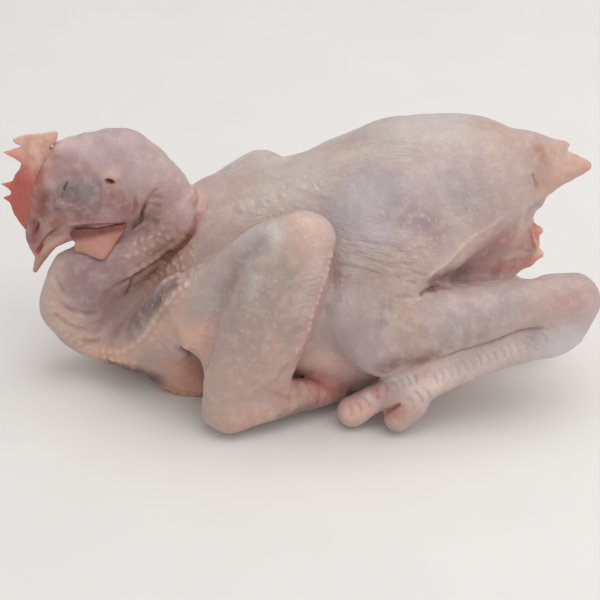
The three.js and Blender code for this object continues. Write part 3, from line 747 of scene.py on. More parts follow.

# Soft tints: the part, the pixels that a tint follows, its reach in mm, its colour and its strength.
# Those marked below stand for light: painted shade, painted light and painted highlights.
TINTS = [
    ("head", [(110, 150), (135, 165)], 12, (183, 158, 169), 0.6),
    # Pale crown below the comb: a painted highlight on its top.
    ("head", [(64, 146), (80, 150), (92, 160)], 7, (235, 214, 220), 0.6),
    ("head", [(60, 168), (84, 172)], 8, (177, 124, 128), 0.6),
    ("head", [(72, 192), (71, 189)], 4.4, (91, 90, 87), 0.95),
    ("head", [(90, 190), (88, 200), (96, 184)], 6, (140, 130, 132), 0.75),
    ("head", [(110, 176), (112, 184)], 5.2, (207, 165, 154), 0.95),
    ("head", [(112, 200), (120, 206), (130, 206)], 7, (163, 94, 106), 0.7),
    ("head", [(60, 206), (76, 210), (92, 214)], 7, (138, 98, 110), 0.75),
    ("head", [(44, 200), (38, 214), (34, 226), (30, 240)], 6, (127, 54, 55), 0.85),
    ("head", [(50, 232), (62, 220), (80, 218)], 6, (158, 99, 94), 0.8),
    ("head", [(30, 246), (36, 253)], 3, (197, 106, 99), 0.7),
    ("head", [(46, 250), (56, 242), (68, 236)], 4, (231, 177, 167), 0.8),
    ("head", [(37, 270), (41, 260)], 4, (208, 132, 104), 0.85),
    ("head", [(52, 152), (46, 164), (42, 176)], 3.2, (218, 156, 149), 0.6),
    ("head", [(41, 180), (37, 192), (33, 204)], 3.2, (161, 97, 88), 0.6),
    ("head", [(32, 207), (28, 218), (27, 224)], 2.6, (153, 87, 96), 0.8),
    # Painted shadow under the jaw's fold, above the wattle.
    ("head", [(120, 223), (100, 226), (84, 230)], 3.5, (172, 107, 104), 0.7),
    ("once", [(196, 196), (199, 212)], 7, (194, 169, 162), 0.8),
    ("once", [(170, 200), (175, 215)], 11, (204, 163, 169), 0.7),
    ("once", [(150, 235), (130, 255), (112, 270)], 13, (173, 132, 132), 0.7),
    ("once", [(176, 238), (160, 252), (146, 264)], 7, (185, 136, 118), 0.6),
    ("once", [(100, 268), (80, 282), (90, 296)], 12, (146, 119, 124), 0.8),
    ("once", [(56, 262), (50, 290), (62, 318), (80, 338)], 8, (224, 193, 172), 0.75),
    ("once", [(90, 352), (108, 356), (122, 358)], 7, (243, 191, 160), 0.8),
    ("once", [(118, 325), (134, 312)], 12, (183, 153, 155), 0.85),
    # Painted shade on the shaded side of the ridge from the shoulder to the throat.
    ("once", [(134, 326), (144, 315), (152, 306)], 7, (84, 68, 71), 0.66),
    # Painted light: a brighter tint that lifts the shade in the recess below the neck's crease.
    ("once", [(184, 262), (168, 276), (150, 290)], 7, (207, 160, 139), 0.7),
    ("once", [(132, 350), (150, 335), (170, 312), (186, 290)], 7, (218, 181, 161), 0.75),
    # Painted light: brighter tints that lift the shade inside the arch under the wing.
    ("once", [(180, 366), (186, 380)], 10, (225, 162, 136), 0.8),
    ("once", [(196, 366), (197, 384)], 6, (216, 159, 139), 0.8),
    ("once", [(164, 389), (180, 393), (196, 400)], 3.4, (244, 164, 119), 0.7),
    # Painted shade under the neck and the breast, which face the ground.
    ("once", [(114, 365), (130, 370), (144, 375), (154, 379)], 5.5, (78, 48, 43), 0.9),
    ("wing", [(308, 232), (296, 224)], 13, (222, 188, 169), 0.75),
    ("wing", [(250, 244), (262, 238)], 9, (188, 191, 196), 0.75),
    # Painted highlight on the top of the arm.
    ("wing", [(272, 228), (276, 236)], 4.5, (238, 236, 226), 0.7),
    ("wing", [(205, 300), (222, 290)], 10, (185, 175, 176), 0.75),
    ("wing", [(198, 340), (208, 330), (204, 350)], 6, (232, 181, 163), 0.8),
    ("wing", [(176, 330), (186, 338)], 7, (224, 176, 147), 0.6),
    ("wing", [(250, 310), (268, 320), (252, 345)], 18, (171, 152, 144), 0.75),
    ("wing", [(232, 380), (222, 400)], 12, (200, 168, 147), 0.5),
    ("wing", [(314, 312), (305, 335), (292, 365)], 4, (199, 146, 143), 0.75),
    ("wing", [(300, 383), (320, 390)], 5, (165, 98, 79), 0.8),
    ("wing", [(280, 402), (300, 398)], 4, (189, 139, 117), 0.6),
    ("wing", [(235, 424), (262, 414)], 7, (205, 156, 140), 0.7),
    ("body", [(400, 122), (450, 124)], 16, (202, 195, 190), 0.7),
    ("body", [(487, 128), (510, 135)], 10, (194, 169, 153), 0.7),
    ("body", [(355, 205), (375, 195)], 18, (191, 190, 197), 0.8),
    ("body", [(422, 180), (436, 186)], 9, (216, 202, 198), 0.5),
    ("body", [(452, 186), (470, 195)], 12, (170, 161, 168), 0.6),
    ("body", [(370, 233), (384, 232)], 6, (200, 193, 202), 0.7),
    ("body", [(300, 180), (270, 195)], 14, (215, 215, 207), 0.5),
    ("body", [(350, 330), (368, 352)], 16, (185, 169, 177), 0.7),
    # Painted shade in the pocket under the elbow.
    ("body", [(330, 262), (336, 274)], 5, (159, 120, 112), 0.7),
    ("body", [(340, 370), (330, 385)], 10, (225, 173, 188), 0.5),
    ("body", [(320, 388), (345, 392)], 7, (211, 145, 129), 0.8),
    ("body", [(478, 256), (500, 240)], 10, (160, 106, 109), 0.6),
    ("once", [(500, 268), (520, 264), (530, 262)], 5, (194, 106, 97), 0.7),
    ("body", [(540, 152), (546, 160)], 5, (166, 116, 91), 0.7),
    ("body", [(552, 150), (558, 154)], 4, (197, 167, 129), 0.6),
    ("body", [(566, 166), (556, 180)], 9, (222, 173, 151), 0.75),
    ("body", [(586, 167), (580, 164)], 4, (217, 161, 144), 0.8),
    ("body", [(566, 149), (569, 150)], 2.5, (220, 202, 171), 0.7),
    ("once", [(532, 228), (536, 234)], 3.2, (231, 117, 74), 0.9),
    ("once", [(540, 229), (538, 240), (541, 250)], 3.4, (244, 187, 158), 0.9),
    ("once", [(541, 257), (530, 264), (520, 274)], 2.6, (244, 156, 133), 0.85),
    ("once", [(541, 252), (536, 256)], 1.8, (244, 215, 191), 0.8),
    # Painted shade on the drumstick's underside, this tint and the next.
    ("leg", [(407, 317), (400, 322)], 8, (180, 157, 141), 0.7),
    ("leg", [(420, 334), (414, 342)], 7, (168, 145, 133), 0.5),
    ("leg", [(450, 322), (500, 305)], 12, (168, 156, 158), 0.7),
    ("leg", [(450, 346), (480, 336)], 6, (124, 99, 110), 0.28),
    ("leg", [(560, 304), (583, 300)], 6, (194, 155, 148), 0.8),
    ("leg", [(592, 305), (588, 316)], 5, (191, 173, 177), 0.7),
    ("leg", [(570, 342), (548, 350)], 9, (210, 212, 217), 0.8),
    ("leg", [(538, 341)], 4, (171, 178, 181), 0.6),
    ("leg", [(510, 350), (470, 366)], 9, (205, 192, 190), 0.8),
    ("leg", [(440, 376), (420, 388)], 9, (244, 225, 218), 0.8),
    ("leg", [(350, 410), (362, 406)], 8, (244, 189, 176), 0.8),
    ("leg", [(368, 395), (377, 392), (386, 389)], 3.2, (244, 235, 238), 0.8),
    ("leg", [(417, 379), (416, 376)], 0.9, (232, 147, 74), 0.9),
    ("leg", [(425, 375), (424, 373)], 0.9, (243, 150, 76), 0.9),
    ("leg", [(398, 414), (404, 410)], 5, (205, 137, 126), 0.6),
    ("head", [(42, 166), (38, 176), (34.5, 188), (32, 200), (31, 210)], 3.8, (183, 100, 88), 0.9),
    # Painted shadow along the lower side of the neck's main crease.
    ("once", [(192, 232), (180, 249), (166, 262), (150, 274)], 2.6, (155, 91, 70), 0.7),
    # Painted shade on the shaded side of the ridge from the shoulder to the throat.
    ("once", [(175, 285), (167, 294), (160, 306)], 4.4, (81, 59, 57), 0.75),
    # Painted shade in the recess above the drumstick.
    ("leg", [(434, 285), (446, 278), (462, 273)], 4.5, (117, 83, 81), 0.85),
    # Painted shade in the gap between the forearm, the hand and the belly.
    ("body", [(298, 373), (305, 376.5), (313, 379)], 4.2, (164, 80, 56), 0.85),
    # Painted shade under the thigh's lower edge, above the foot.
    ("leg", [(384, 369), (398, 363), (414, 362), (430, 358)], 4.5, (110, 73, 70), 0.7),
    ("body", [(434, 227), (420, 218), (400, 213)], 8, (132, 113, 120), 0.6),
    ("body", [(350, 264), (341, 247)], 7, (244, 244, 244), 0.5),
    ("body", [(338, 329), (345, 300)], 8, (244, 244, 244), 0.5),
    ("leg", [(396, 382), (413, 377)], 4, (244, 244, 244), 0.6),
    # Painted shade along the wing's lower edge, next to the ground.
    ("wing", [(283, 416), (317, 404)], 3.4, (124, 79, 66), 0.7),
    ("once", [(485, 277), (497, 273)], 3.6, (126, 73, 69), 0.5),
    ("once", [(518, 269), (527, 263)], 4, (232, 176, 166), 0.45),
    ("once", [(539, 236), (539, 243)], 3, (192, 134, 118), 0.5),
    ("once", [(535, 228)], 3.5, (186, 108, 82), 0.35),
    ("wing", [(262, 242), (250, 252), (240, 262)], 4.5, (152, 133, 136), 0.6),
    ("wing", [(240, 275), (232, 295), (222, 316)], 2.8, (201, 175, 166), 0.55),
    ("wing", [(254, 278), (251, 292)], 3.2, (195, 193, 195), 0.6),
    ("wing", [(284, 266), (290, 280)], 6, (158, 145, 128), 0.5),
    ("wing", [(318, 262), (312, 285), (302, 310)], 5, (225, 203, 194), 0.55),
    ("wing", [(286, 385), (276, 391)], 3.4, (200, 143, 126), 0.75),
    ("wing", [(275, 345), (268, 372)], 6, (202, 161, 141), 0.5),
    ("body", [(306, 362), (322, 360)], 6, (244, 209, 178), 0.6),
    ("leg", [(384, 307), (383, 320)], 4, (140, 138, 145), 0.55),
    ("once", [(512, 236), (522, 246), (516, 258)], 6, (196, 135, 126), 0.6),
    ("body", [(538, 188)], 3, (202, 155, 119), 0.6),
    ("head", [(54, 148), (47, 158)], 3.6, (220, 169, 158), 0.8),
    ("once", [(264, 156), (252, 160)], 9, (202, 198, 193), 0.65),
    ("once", [(193, 191), (203, 198), (205, 206)], 2.4, (209, 155, 151), 0.6),
    ("once", [(191, 204), (197, 208)], 2.6, (168, 124, 118), 0.6),
    # Painted shade at the neck crease's deep upper end.
    ("once", [(199, 218), (196, 224)], 1.8, (153, 68, 64), 0.7),
    ("leg", [(374, 391), (377, 397)], 1.6, (226, 133, 133), 0.6),
    ("leg", [(383, 391), (389, 389)], 1.8, (232, 151, 149), 0.5),
    ("leg", [(386, 414), (392, 411)], 2.2, (200, 116, 110), 0.4),
    ("leg", [(398, 306), (412, 304)], 5, (189, 156, 142), 0.4),
    ("wing", [(324, 270), (319, 286), (313, 302)], 2.6, (201, 173, 163), 0.6),
    ("body", [(340, 158), (370, 153), (396, 156)], 5, (224, 216, 203), 0.5),
    ("body", [(310, 190), (330, 182), (350, 188)], 7, (210, 201, 198), 0.4),
]

# Soft rises and hollows: the part, the pixels, the reach and the height in mm.
BUMPS = [
    ("head", [(110, 177)], 4.6, 0.8),
    ("head", [(63, 160)], 3.5, -0.5),
    ("head", [(37.5, 264), (36, 270)], 1.3, 0.12),
    ("head", [(59, 149), (67, 145)], 4, 2.2),
    ("head", [(68, 134), (80, 129), (95, 127), (112, 126)], 7, -1.5),
    ("once", [(195, 197), (196, 212)], 5.5, 2.0),
    ("once", [(181, 213)], 5, 1.0),
    ("once", [(166, 232)], 5, 0.9),
    ("body", [(352, 248)], 7, 0.5),
    ("body", [(394, 289)], 3, 0.9),
    ("body", [(408, 290)], 3, 0.9),
    ("body", [(540, 155)], 4, -0.9),
    ("wing", [(288, 388)], 3.4, 1.3),
    ("wing", [(300, 385)], 3.2, 1.2),
    ("wing", [(313, 386)], 3.4, 1.2),
    ("wing", [(326, 392)], 3, 0.8),
    ("leg", [(436, 284), (448, 279)], 4, -2.4),
    ("leg", [(533, 285), (548, 281), (562, 279.5), (575, 279.5)], 8, 2.0),
    ("body", [(540, 198), (538, 203)], 4, 2.4),
    ("body", [(530, 213), (529, 219)], 3.6, -2.2),
    ("wing", [(304, 228)], 8, 0.8),
    ("leg", [(539, 341)], 3, 0.6),
    ("once", [(163, 388)], 2, 1.2),
    ("leg", [(583, 325), (577, 337)], 4.6, 2.8),
    ("leg", [(586, 331)], 3, 0.9),
    ("leg", [(565, 351), (553, 355)], 5, 1.7),
    ("once", [(521, 275), (529, 277)], 5, -2.8),
    ("once", [(281, 154.5), (290, 150), (299, 146)], 9, -4.6),
    ("once", [(411, 112)], 10, -1.2),
    ("once", [(60, 340), (74, 349)], 6, -1.4),
    ("once", [(174, 345), (179, 347), (184, 351)], 3.2, 3.0),
    ("wing", [(193, 353), (200, 361)], 2.8, -1.8),
]

# Rows of small rises along a path: the part, the path's pixels, the steps in pixels, and each
# rise's reach and height in mm.
STUDS = [
    ("wing", [(331, 252), (326, 268), (319, 290), (312, 312), (305, 335)], 7, 1.4, 1.0),
    ("once", [(50, 300), (55, 314), (64, 328)], 8, 1.4, 0.7),
    ("once", [(58, 326), (74, 339), (92, 347), (112, 351), (128, 350)], 8, 1.5, 1.1),
    ("once", [(62, 334), (80, 346), (98, 354), (118, 359), (136, 362)], 7.5, 1.5, 1.5),
    ("once", [(190, 283), (176, 294), (164, 308), (155, 321), (145, 334), (134, 345)], 8, 1.5, 1.2),
    ("once", [(186, 292), (174, 306), (165, 320), (156, 333), (146, 346)], 9, 1.5, 0.7),
    ("once", [(184, 256), (172, 266), (158, 276), (146, 284)], 8, 1.6, 0.9),
    ("once", [(187, 266), (176, 275), (164, 283)], 8, 1.5, 0.8),
    ("once", [(192, 230), (182, 241), (170, 250), (156, 259), (142, 268), (130, 275)], 8, 1.7, 0.8),
    ("once", [(124, 258), (140, 251), (156, 244), (170, 237)], 9, 1.5, 0.5),
    ("once", [(130, 246), (146, 238), (160, 233)], 9, 1.5, 0.5),
    ("body", [(236, 210), (254, 204), (272, 198), (290, 196)], 11, 2, 0.5),
    ("body", [(296, 186), (314, 191), (332, 196)], 12, 2.2, 0.5),
    ("once", [(172, 392), (186, 396), (199, 401)], 6, 1.3, 0.9),
]

# Where bristle pits stand up: the part, the pixels, the reach in mm and the strength.
PITS = [
    ("once", [(198, 265), (180, 285), (160, 306), (142, 332), (125, 348)], 9, 1.0),
    ("once", [(50, 286), (54, 308), (66, 328), (88, 347), (112, 358)], 7, 1.0),
    ("once", [(150, 236), (138, 258), (168, 236)], 10, 0.8),
    ("once", [(186, 250), (172, 268), (150, 280)], 8, 1.0),
    ("wing", [(265, 320), (250, 350), (275, 300)], 18, 0.65),
    ("wing", [(235, 285), (215, 310), (208, 335)], 9, 0.8),
    ("wing", [(330, 250), (322, 280), (310, 315), (298, 350)], 4, 0.9),
    ("wing", [(308, 235), (296, 226)], 12, 0.45),
    ("body", [(240, 215), (255, 225), (270, 205)], 11, 0.65),
    ("body", [(300, 200), (320, 190)], 14, 0.6),
    ("body", [(335, 285), (345, 310)], 8, 0.7),
    ("body", [(400, 262), (440, 230), (470, 210)], 14, 0.6),
    ("leg", [(440, 320), (480, 312)], 14, 0.35),
    ("once", [(178, 392), (196, 398)], 5, 0.8),
]

# Fine wrinkles: the part, where they show, their reach, their spacing, their run and their depth,
# all in mm, and two pixels across them.
WRINKLES = [
    ("body", [(345, 252), (372, 258), (398, 268)], 13, 1.5, 8, 0.26, [(356, 240), (350, 272)]),
    ("body", [(352, 148), (398, 148)], 12, 1.9, 14, 0.2, [(372, 140), (369, 162)]),
    ("body", [(330, 262), (336, 280), (332, 300)], 6, 1.6, 7, 0.22, [(336, 250), (330, 290)]),
    ("wing", [(316, 268), (304, 300), (292, 330)], 7, 1.6, 6, 0.24, [(322, 262), (306, 318)]),
    ("wing", [(250, 330), (262, 300)], 12, 2, 6, 0.14, [(262, 290), (248, 350)]),
    ("once", [(148, 208), (162, 222), (152, 232)], 8, 1.8, 5, 0.26, [(146, 200), (164, 238)]),
    ("once", [(172, 262), (156, 276), (140, 290)], 8, 1.7, 4, 0.26, [(180, 262), (146, 284)]),
    ("body", [(244, 226), (262, 212)], 9, 1.8, 7, 0.14, [(238, 212), (244, 232)]),
    ("leg", [(400, 288), (408, 300)], 6, 1.4, 4, 0.2, [(402, 280), (404, 306)]),
    ("leg", [(440, 374), (470, 363), (500, 354), (520, 349)], 7, 2.4, 4, 0.14, [(425, 388), (548, 347)]),
    ("head", [(118, 200), (132, 204)], 5, 2.2, 8, 0.18, [(108, 202), (140, 202)]),
    ("head", [(52, 206), (66, 212), (80, 216)], 4, 1.8, 8, 0.2, [(66, 204), (64, 222)]),
]

PER_SPAN = 3  # points of a smooth path for each of its pixels
RUNG_SAG = 0.25  # how far a rung's middle runs ahead, as a share of its half length
# The pale tips of the small rises are a painted highlight.
STUD_HIGHLIGHT = (230, 200, 184)
STUD_HIGHLIGHT_REACH = 0.75  # of the stud's own
STUD_HIGHLIGHT_STRENGTH = 0.6


def smooth_pixels(pixels):
    """A path of pixels as a smooth line."""
    path = np.array(pixels, float)
    if len(path) < 3:
        return path
    return smooth_line(np.column_stack([path, np.zeros(len(path))]), PER_SPAN)[:, :2]


def steps_along(pixels, step):
    """Evenly spaced places on a path of pixels, and the directions along it."""
    path = smooth_pixels(pixels)
    lengths = np.concatenate([[0], np.cumsum(np.linalg.norm(np.diff(path, axis=0), axis=1))])
    at = np.arange(step / 2, lengths[-1], step)
    before, places, after = [np.column_stack([np.interp(at + shift, lengths, side) for side in path.T])
                             for shift in (-1, 0, 1)]
    return places, after - before


def rung_creases():
    """The rows of short creases, as creases."""
    creases = []
    for part, pixels, step, half, *look in RUNGS:
        for place, (x, y) in zip(*steps_along(pixels, step)):
            across = unit([-y, x]) * half
            along = unit([x, y]) * RUNG_SAG * half
            creases.append((part, [place - across, place + along, place + across], *look))
    return creases


def stud_bumps():
    """The rows of small rises, as bumps."""
    return [(part, [tuple(place)], reach, height)
            for part, pixels, step, reach, height in STUDS
            for place in steps_along(pixels, step)[0]]


def stud_highlights():
    """The painted highlights on the small rises' tips, as tints."""
    return [(part, pixels, STUD_HIGHLIGHT_REACH * reach, STUD_HIGHLIGHT, STUD_HIGHLIGHT_STRENGTH)
            for part, pixels, reach, _ in stud_bumps()]


def rising(values, start, run):
    """0 up to the start, and rising smoothly to 1 over the run."""
    t = np.clip((values - start) / run, 0, 1)
    return t * t * (3 - 2 * t)


def parted(joined, parts):
    """Cuts an array into pieces as long as the parts."""
    return np.split(joined, np.cumsum([len(part) for part in parts])[:-1])


def lay(field, marks):
    """Lays marks of (part, pixels) on the skin. Gives each mark's paths, one on each side that it
    lies on, as pairs of points and outward directions."""
    drawn = [smooth_pixels(pixels) for _, pixels in marks]
    paths = parted(on_skin(field, np.concatenate(drawn)), drawn)
    twins = [(i, TWINS[part](paths[i])) for i, (part, _) in enumerate(marks) if part != "once"]
    joined = np.concatenate([twin for _, twin in twins])
    joined = settle(field, joined, straight_out(field, joined), 5)
    laid = [[path] for path in paths]
    for (i, _), twin in zip(twins, parted(joined, [twin for _, twin in twins])):
        laid[i].append(twin)
    every = [path for pair in laid for path in pair]
    outward = iter(parted(straight_out(field, np.concatenate(every)), every))
    return [[(path, next(outward)) for path in pair] for pair in laid]


def box_round(points, path, margin):
    """The numbers of the points in a box round a path."""
    return np.flatnonzero(((points > path.min(0) - margin) & (points < path.max(0) + margin)).all(1))


def spans(path):
    """The ends of each segment of a path. A lone point is a very short segment."""
    return list(zip(path, path[1:] if len(path) > 1 else path + 0.001))


END_SHARE = 0.22  # of a path: how long its fading ends are
MARK_ENDS = 2.2  # reaches from its path: where a mark ends
FACING_GAIN = 2.0  # a mark acts fully where the skin faces its way, and not on the skin's other side
FACING_SHIFT = 0.6


def strength_near(points, normals, path, outward, reach, fading=False):
    """How strongly a mark acts: 1 on its path, and falling smoothly to nearly 0 at two reaches."""
    strength = np.zeros(len(points))
    near = box_round(points, path, MARK_ENDS * reach)
    close, best = points[near], np.full(len(near), np.inf)
    facing, along = np.zeros((2, len(near)))
    segments = spans(path)
    for k, (a, b) in enumerate(segments):
        share, offset = along_segment(close, a, b)
        d = (offset ** 2).sum(1)
        nearer = d < best
        best[nearer] = d[nearer]
        facing[nearer] = (normals[near] @ outward[k])[nearer]
        along[nearer] = (k + share[nearer]) / len(segments)
    strength[near] = np.exp(-best / reach ** 2) * np.clip(FACING_GAIN * facing + FACING_SHIFT, 0, 1)
    if fading:
        strength[near] *= rising(np.minimum(along, 1 - along), 0, END_SHARE)
    return strength


# The skin's mesh: the space that it is sought in, the grid's pitch, and the longest edges. Marks
# have shorter ones: a crease's and a bump's go with their widths and reaches.
SPACE = ([-150, -60, -2], [152, 122, 148])
BODY_PITCH = 2.2
BODY_EDGE = 3.6
HEAD_EDGE = 1.6
HEAD_MIDDLE = (12, 4, 0)
HEAD_REACH = 46
CREASE_ZONE, CREASE_EDGE, LEAST_EDGE = 1.7, 0.75, 0.62
BUMP_MARGIN, BUMP_EDGE = 1.2, 0.6
LUMPY_EDGE = 1.2
LUMPY_PITS = 0.8  # bristle pits at least this strong stand on lumps
SPLIT_ROUNDS = 3
LAST_RELAX = 0.3


def wanted_edge(points, fine):
    """The longest edge at each point, from the head's place and the fine paths."""
    on_head = np.linalg.norm(to_head(points) - HEAD_MIDDLE, axis=1) < HEAD_REACH
    wanted = np.where(on_head, HEAD_EDGE, BODY_EDGE)
    for path, margin, edge in fine:
        near = box_round(points, path, margin)
        best = np.full(len(near), np.inf)
        for a, b in spans(path):
            best = np.minimum(best, (along_segment(points[near], a, b)[1] ** 2).sum(1))
        near = near[best < margin ** 2]
        wanted[near] = np.minimum(wanted[near], edge)
    return wanted


def uneven(points, size, seed):
    """Smooth noise from -1 to 1 with features of the given size in mm."""
    shift = Vector((seed, 2 * seed, 3 * seed))
    return np.array([noise.noise(Vector(p) / size + shift) for p in points])


def unevenness(points, layers):
    """Layers of smooth noise: each layer's height and size in mm, and its seed."""
    return sum(height * uneven(points, size, seed) for height, size, seed in layers)


def build_skin(field, fine):
    """The skin's points and triangles, finer on the head and round the fine paths."""
    grounded = on_ground(field)
    points, faces = meshed(grounded, *SPACE, BODY_PITCH, 1)
    for _ in range(SPLIT_ROUNDS):
        points, faces = split(points, faces, lambda middles: wanted_edge(middles, fine))
    points = relaxed(points, faces, LAST_RELAX)
    return settle(grounded, points, mesh_outward(points, faces)), faces


BASE_TINT = np.array([190, 168, 161], float)
BASE_PITS = 0.12
SKIN_UNEVEN = [(0.45, 14, 3), (0.22, 5, 8)]
LUMPS = [(0.75, 3.1, 21)]
LUMP_RISE = 0.1
LUMPS_START, LUMPS_RUN = 0.45, 0.4  # of the pits' strength
BEAK_START, BEAK_RUN = 24, 10  # how far forward of the skull's centre the pits fade


class Canvas:
    """The skin's points, and what the marks change at each."""

    def __init__(self, points, faces):
        self.points = points
        self.outward = mesh_outward(points, faces)
        self.height = unevenness(points, SKIN_UNEVEN)
        self.tint = np.tile(BASE_TINT, (len(points), 1))
        self.pits = np.full(len(points), BASE_PITS)
        self.depth, self.across, self.along, self.rival = np.zeros((4, len(points)))

    def near(self, path, outward, reach, fading=False):
        return strength_near(self.points, self.outward, path, outward, reach, fading)

    def tinge(self, share, colour):
        self.tint += share[:, None] * (np.array(colour) - self.tint)

    def add_tint(self, paths, reach, colour, strength):
        for path, outward in paths:
            self.tinge(strength * self.near(path, outward, reach), colour)

    def add_crease(self, paths, width, lift, colour, strength):
        for path, outward in paths:
            share = self.near(path, outward, width, fading=True)
            self.height += lift * share
            # A groove's darker tint is painted shade in it.
            self.tinge(strength * share, colour)

    def add_bump(self, paths, reach, height):
        for path, outward in paths:
            self.height += height * self.near(path, outward, reach)

    def add_pits(self, paths, reach, strength):
        for path, outward in paths:
            self.pits = np.maximum(self.pits, strength * self.near(path, outward, reach))

    def add_lumps(self):
        lumpy = rising(self.pits, LUMPS_START, LUMPS_RUN)
        self.height += lumpy * (LUMP_RISE + unevenness(self.points, LUMPS))

    def add_wrinkles(self, paths, across, reach, gap, run, deep):
        """Fine wrinkles. across is each side's path over them."""
        for (path, outward), (ends, up) in zip(paths, across):
            over = unit(ends[-1] - ends[0])
            beside = unit(np.cross(over, up[0]))
            beside *= math.copysign(1, beside[0])
            share = deep * self.near(path, outward, reach)
            stronger = share > self.depth
            self.rival = np.maximum(self.rival, np.minimum(share, self.depth))
            offset = self.points[stronger] - path[0]
            self.depth[stronger] = share[stronger]
            self.across[stronger] = offset @ over / gap
            self.along[stronger] = offset @ beside / run

    def moved(self):
        """The points at their marks' heights, and none below the ground."""
        points = self.points + self.outward * self.height[:, None]
        points[:, 2] = np.maximum(points[:, 2], GROUND)
        return points

    def facts(self):
        """What the shader reads at each point."""
        beak = rising(to_head(self.points)[:, 0], BEAK_START, BEAK_RUN)
        pits = self.pits * (1 - beak)
        depth = self.depth - self.rival  # none where two sets of wrinkles meet
        names = ("tint", "pits", "line_depth", "line_across", "line_along")
        return dict(zip(names, (self.tint, pits, depth, self.across, self.along)))


def marked_skin(field):
    """The skin's moved points, its triangles, and what the shader reads at each point."""
    creases, bumps = CREASES + rung_creases(), BUMPS + stud_bumps()
    tints = TINTS + stud_highlights()
    tables = creases, tints, bumps, PITS, WRINKLES, [(line[0], line[-1]) for line in WRINKLES]
    laid = lay(field, [mark[:2] for table in tables for mark in table])
    crease_paths, *others = parted(np.array(laid, dtype=object), tables)
    tint_paths, bump_paths, pit_paths, wrinkle_paths, across = others
    fine = [(path, CREASE_ZONE * mark[2], max(LEAST_EDGE, CREASE_EDGE * mark[2]))
            for mark, paths in zip(creases, crease_paths) for path, _ in paths]
    fine += [(path, mark[2] + BUMP_MARGIN, BUMP_EDGE * mark[2])
             for mark, paths in zip(bumps, bump_paths) for path, _ in paths]
    fine += [(path, mark[2], LUMPY_EDGE)
             for mark, paths in zip(PITS, pit_paths) if mark[3] >= LUMPY_PITS for path, _ in paths]
    points, faces = build_skin(field, fine)
    canvas = Canvas(points, faces)
    for add_mark, table, laid_paths in (
        (canvas.add_tint, tints, tint_paths),
        (canvas.add_crease, creases, crease_paths),
        (canvas.add_bump, bumps, bump_paths),
        (canvas.add_pits, PITS, pit_paths),
    ):
        for mark, paths in zip(table, laid_paths):
            add_mark(paths, *mark[2:])
    canvas.add_lumps()
    for mark, paths, over in zip(WRINKLES, wrinkle_paths, across):
        canvas.add_wrinkles(paths, over, *mark[2:-1])
    return canvas.moved(), faces, canvas.facts()


# Making Blender objects.

def linear(colour):
    """A display colour from 0 to 255 as the linear colour that Blender works in."""
    c = np.array(colour, float) / 255
    return np.where(c <= 0.04045, c / 12.92, ((c + 0.055) / 1.055) ** 2.4)


def make_object(name, points, faces, facts, material):
    """A piece on the root body, with its facts as point attributes."""
    mesh = bpy.data.meshes.new(name)
    placed = (points - PART_ORIGIN) * MM
    mesh.from_pydata(placed.tolist(), [], faces.tolist())
    mesh.validate()
    for key, values in facts.items():
        if values.ndim == 2:
            layer = mesh.attributes.new(key, "FLOAT_COLOR", "POINT")
            colours = np.column_stack([linear(values), np.ones(len(values))])
            layer.data.foreach_set("color", colours.ravel().astype(np.float32))
        else:
            layer = mesh.attributes.new(key, "FLOAT", "POINT")
            layer.data.foreach_set("value", values.astype(np.float32))
    mesh.polygons.foreach_set("use_smooth", [True] * len(mesh.polygons))
    piece = bpy.data.objects.new(name, mesh)
    bpy.context.scene.collection.objects.link(piece)
    mesh.materials.append(material)
    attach(piece, "root")
    return piece


# Materials.

def add(tree, kind, sockets=None, **settings):
    """A new node. Its settings are properties, and its sockets get a value or another node's output."""
    node = tree.nodes.new(kind)
    for key, value in settings.items():
        setattr(node, key, value)
    for key, value in (sockets or {}).items():
        if isinstance(value, bpy.types.NodeSocket):
            tree.links.new(value, node.inputs[key])
        else:
            node.inputs[key].default_value = value
    return node


def calc(tree, operation, a, b=0.0, clamp=False):
    """A number worked out from two others."""
    return add(tree, "ShaderNodeMath", {0: a, 1: b}, operation=operation, use_clamp=clamp).outputs[0]


def weighed(tree, *terms):
    """The sum of outputs, each times its weight."""
    total, *others = [calc(tree, "MULTIPLY", output, weight) for output, weight in terms]
    for term in others:
        total = calc(tree, "ADD", total, term)
    return total


def fact(tree, name, output="Fac"):
    """What a piece's point attribute says."""
    return add(tree, "ShaderNodeAttribute", attribute_name=name).outputs[output]


def ranged(tree, value, low, high, to_low=0.0, to_high=1.0):
    """A value that goes smoothly from one number to another over a range."""
    sockets = {"Value": value, "From Min": low, "From Max": high, "To Min": to_low, "To Max": to_high}
    return add(tree, "ShaderNodeMapRange", sockets, interpolation_type="SMOOTHSTEP").outputs[0]


def grain(tree, place, size, detail=2.0):
    """Noise from 0 to 1 with features of the given size in mm."""
    sockets = {"Vector": place, "Scale": 1 / (size * MM), "Detail": detail}
    return add(tree, "ShaderNodeTexNoise", sockets).outputs["Fac"]


def rgba(colour):
    """A display colour from 0 to 255 for a socket."""
    return (*[float(v) for v in linear(colour)], 1.0)


def mixed(tree, share, a, b):
    """Two colours mixed. Sockets 0, 6 and 7 of the node are its share and its two colours."""
    return add(tree, "ShaderNodeMix", {0: share, 6: a, 7: b}, data_type="RGBA").outputs[2]


def layered(tree, place, colour, layers):
    """A colour under layers of noise. A layer's numbers are its noise's size in mm and detail, the
    readings that it starts and is full at, its greatest share, and its colour."""
    for size, detail, start, full, most, tone in layers:
        share = ranged(tree, grain(tree, place, size, detail), start, full, 0.0, most)
        colour = mixed(tree, share, colour, rgba(tone))
    return colour


def new_material(name):
    material = bpy.data.materials.new(name)
    material.use_nodes = True
    material.node_tree.nodes.clear()
    return material, material.node_tree


FLESH_GLOW = (1.0, 0.42, 0.28)  # how far red, green and blue light go in the flesh, as shares


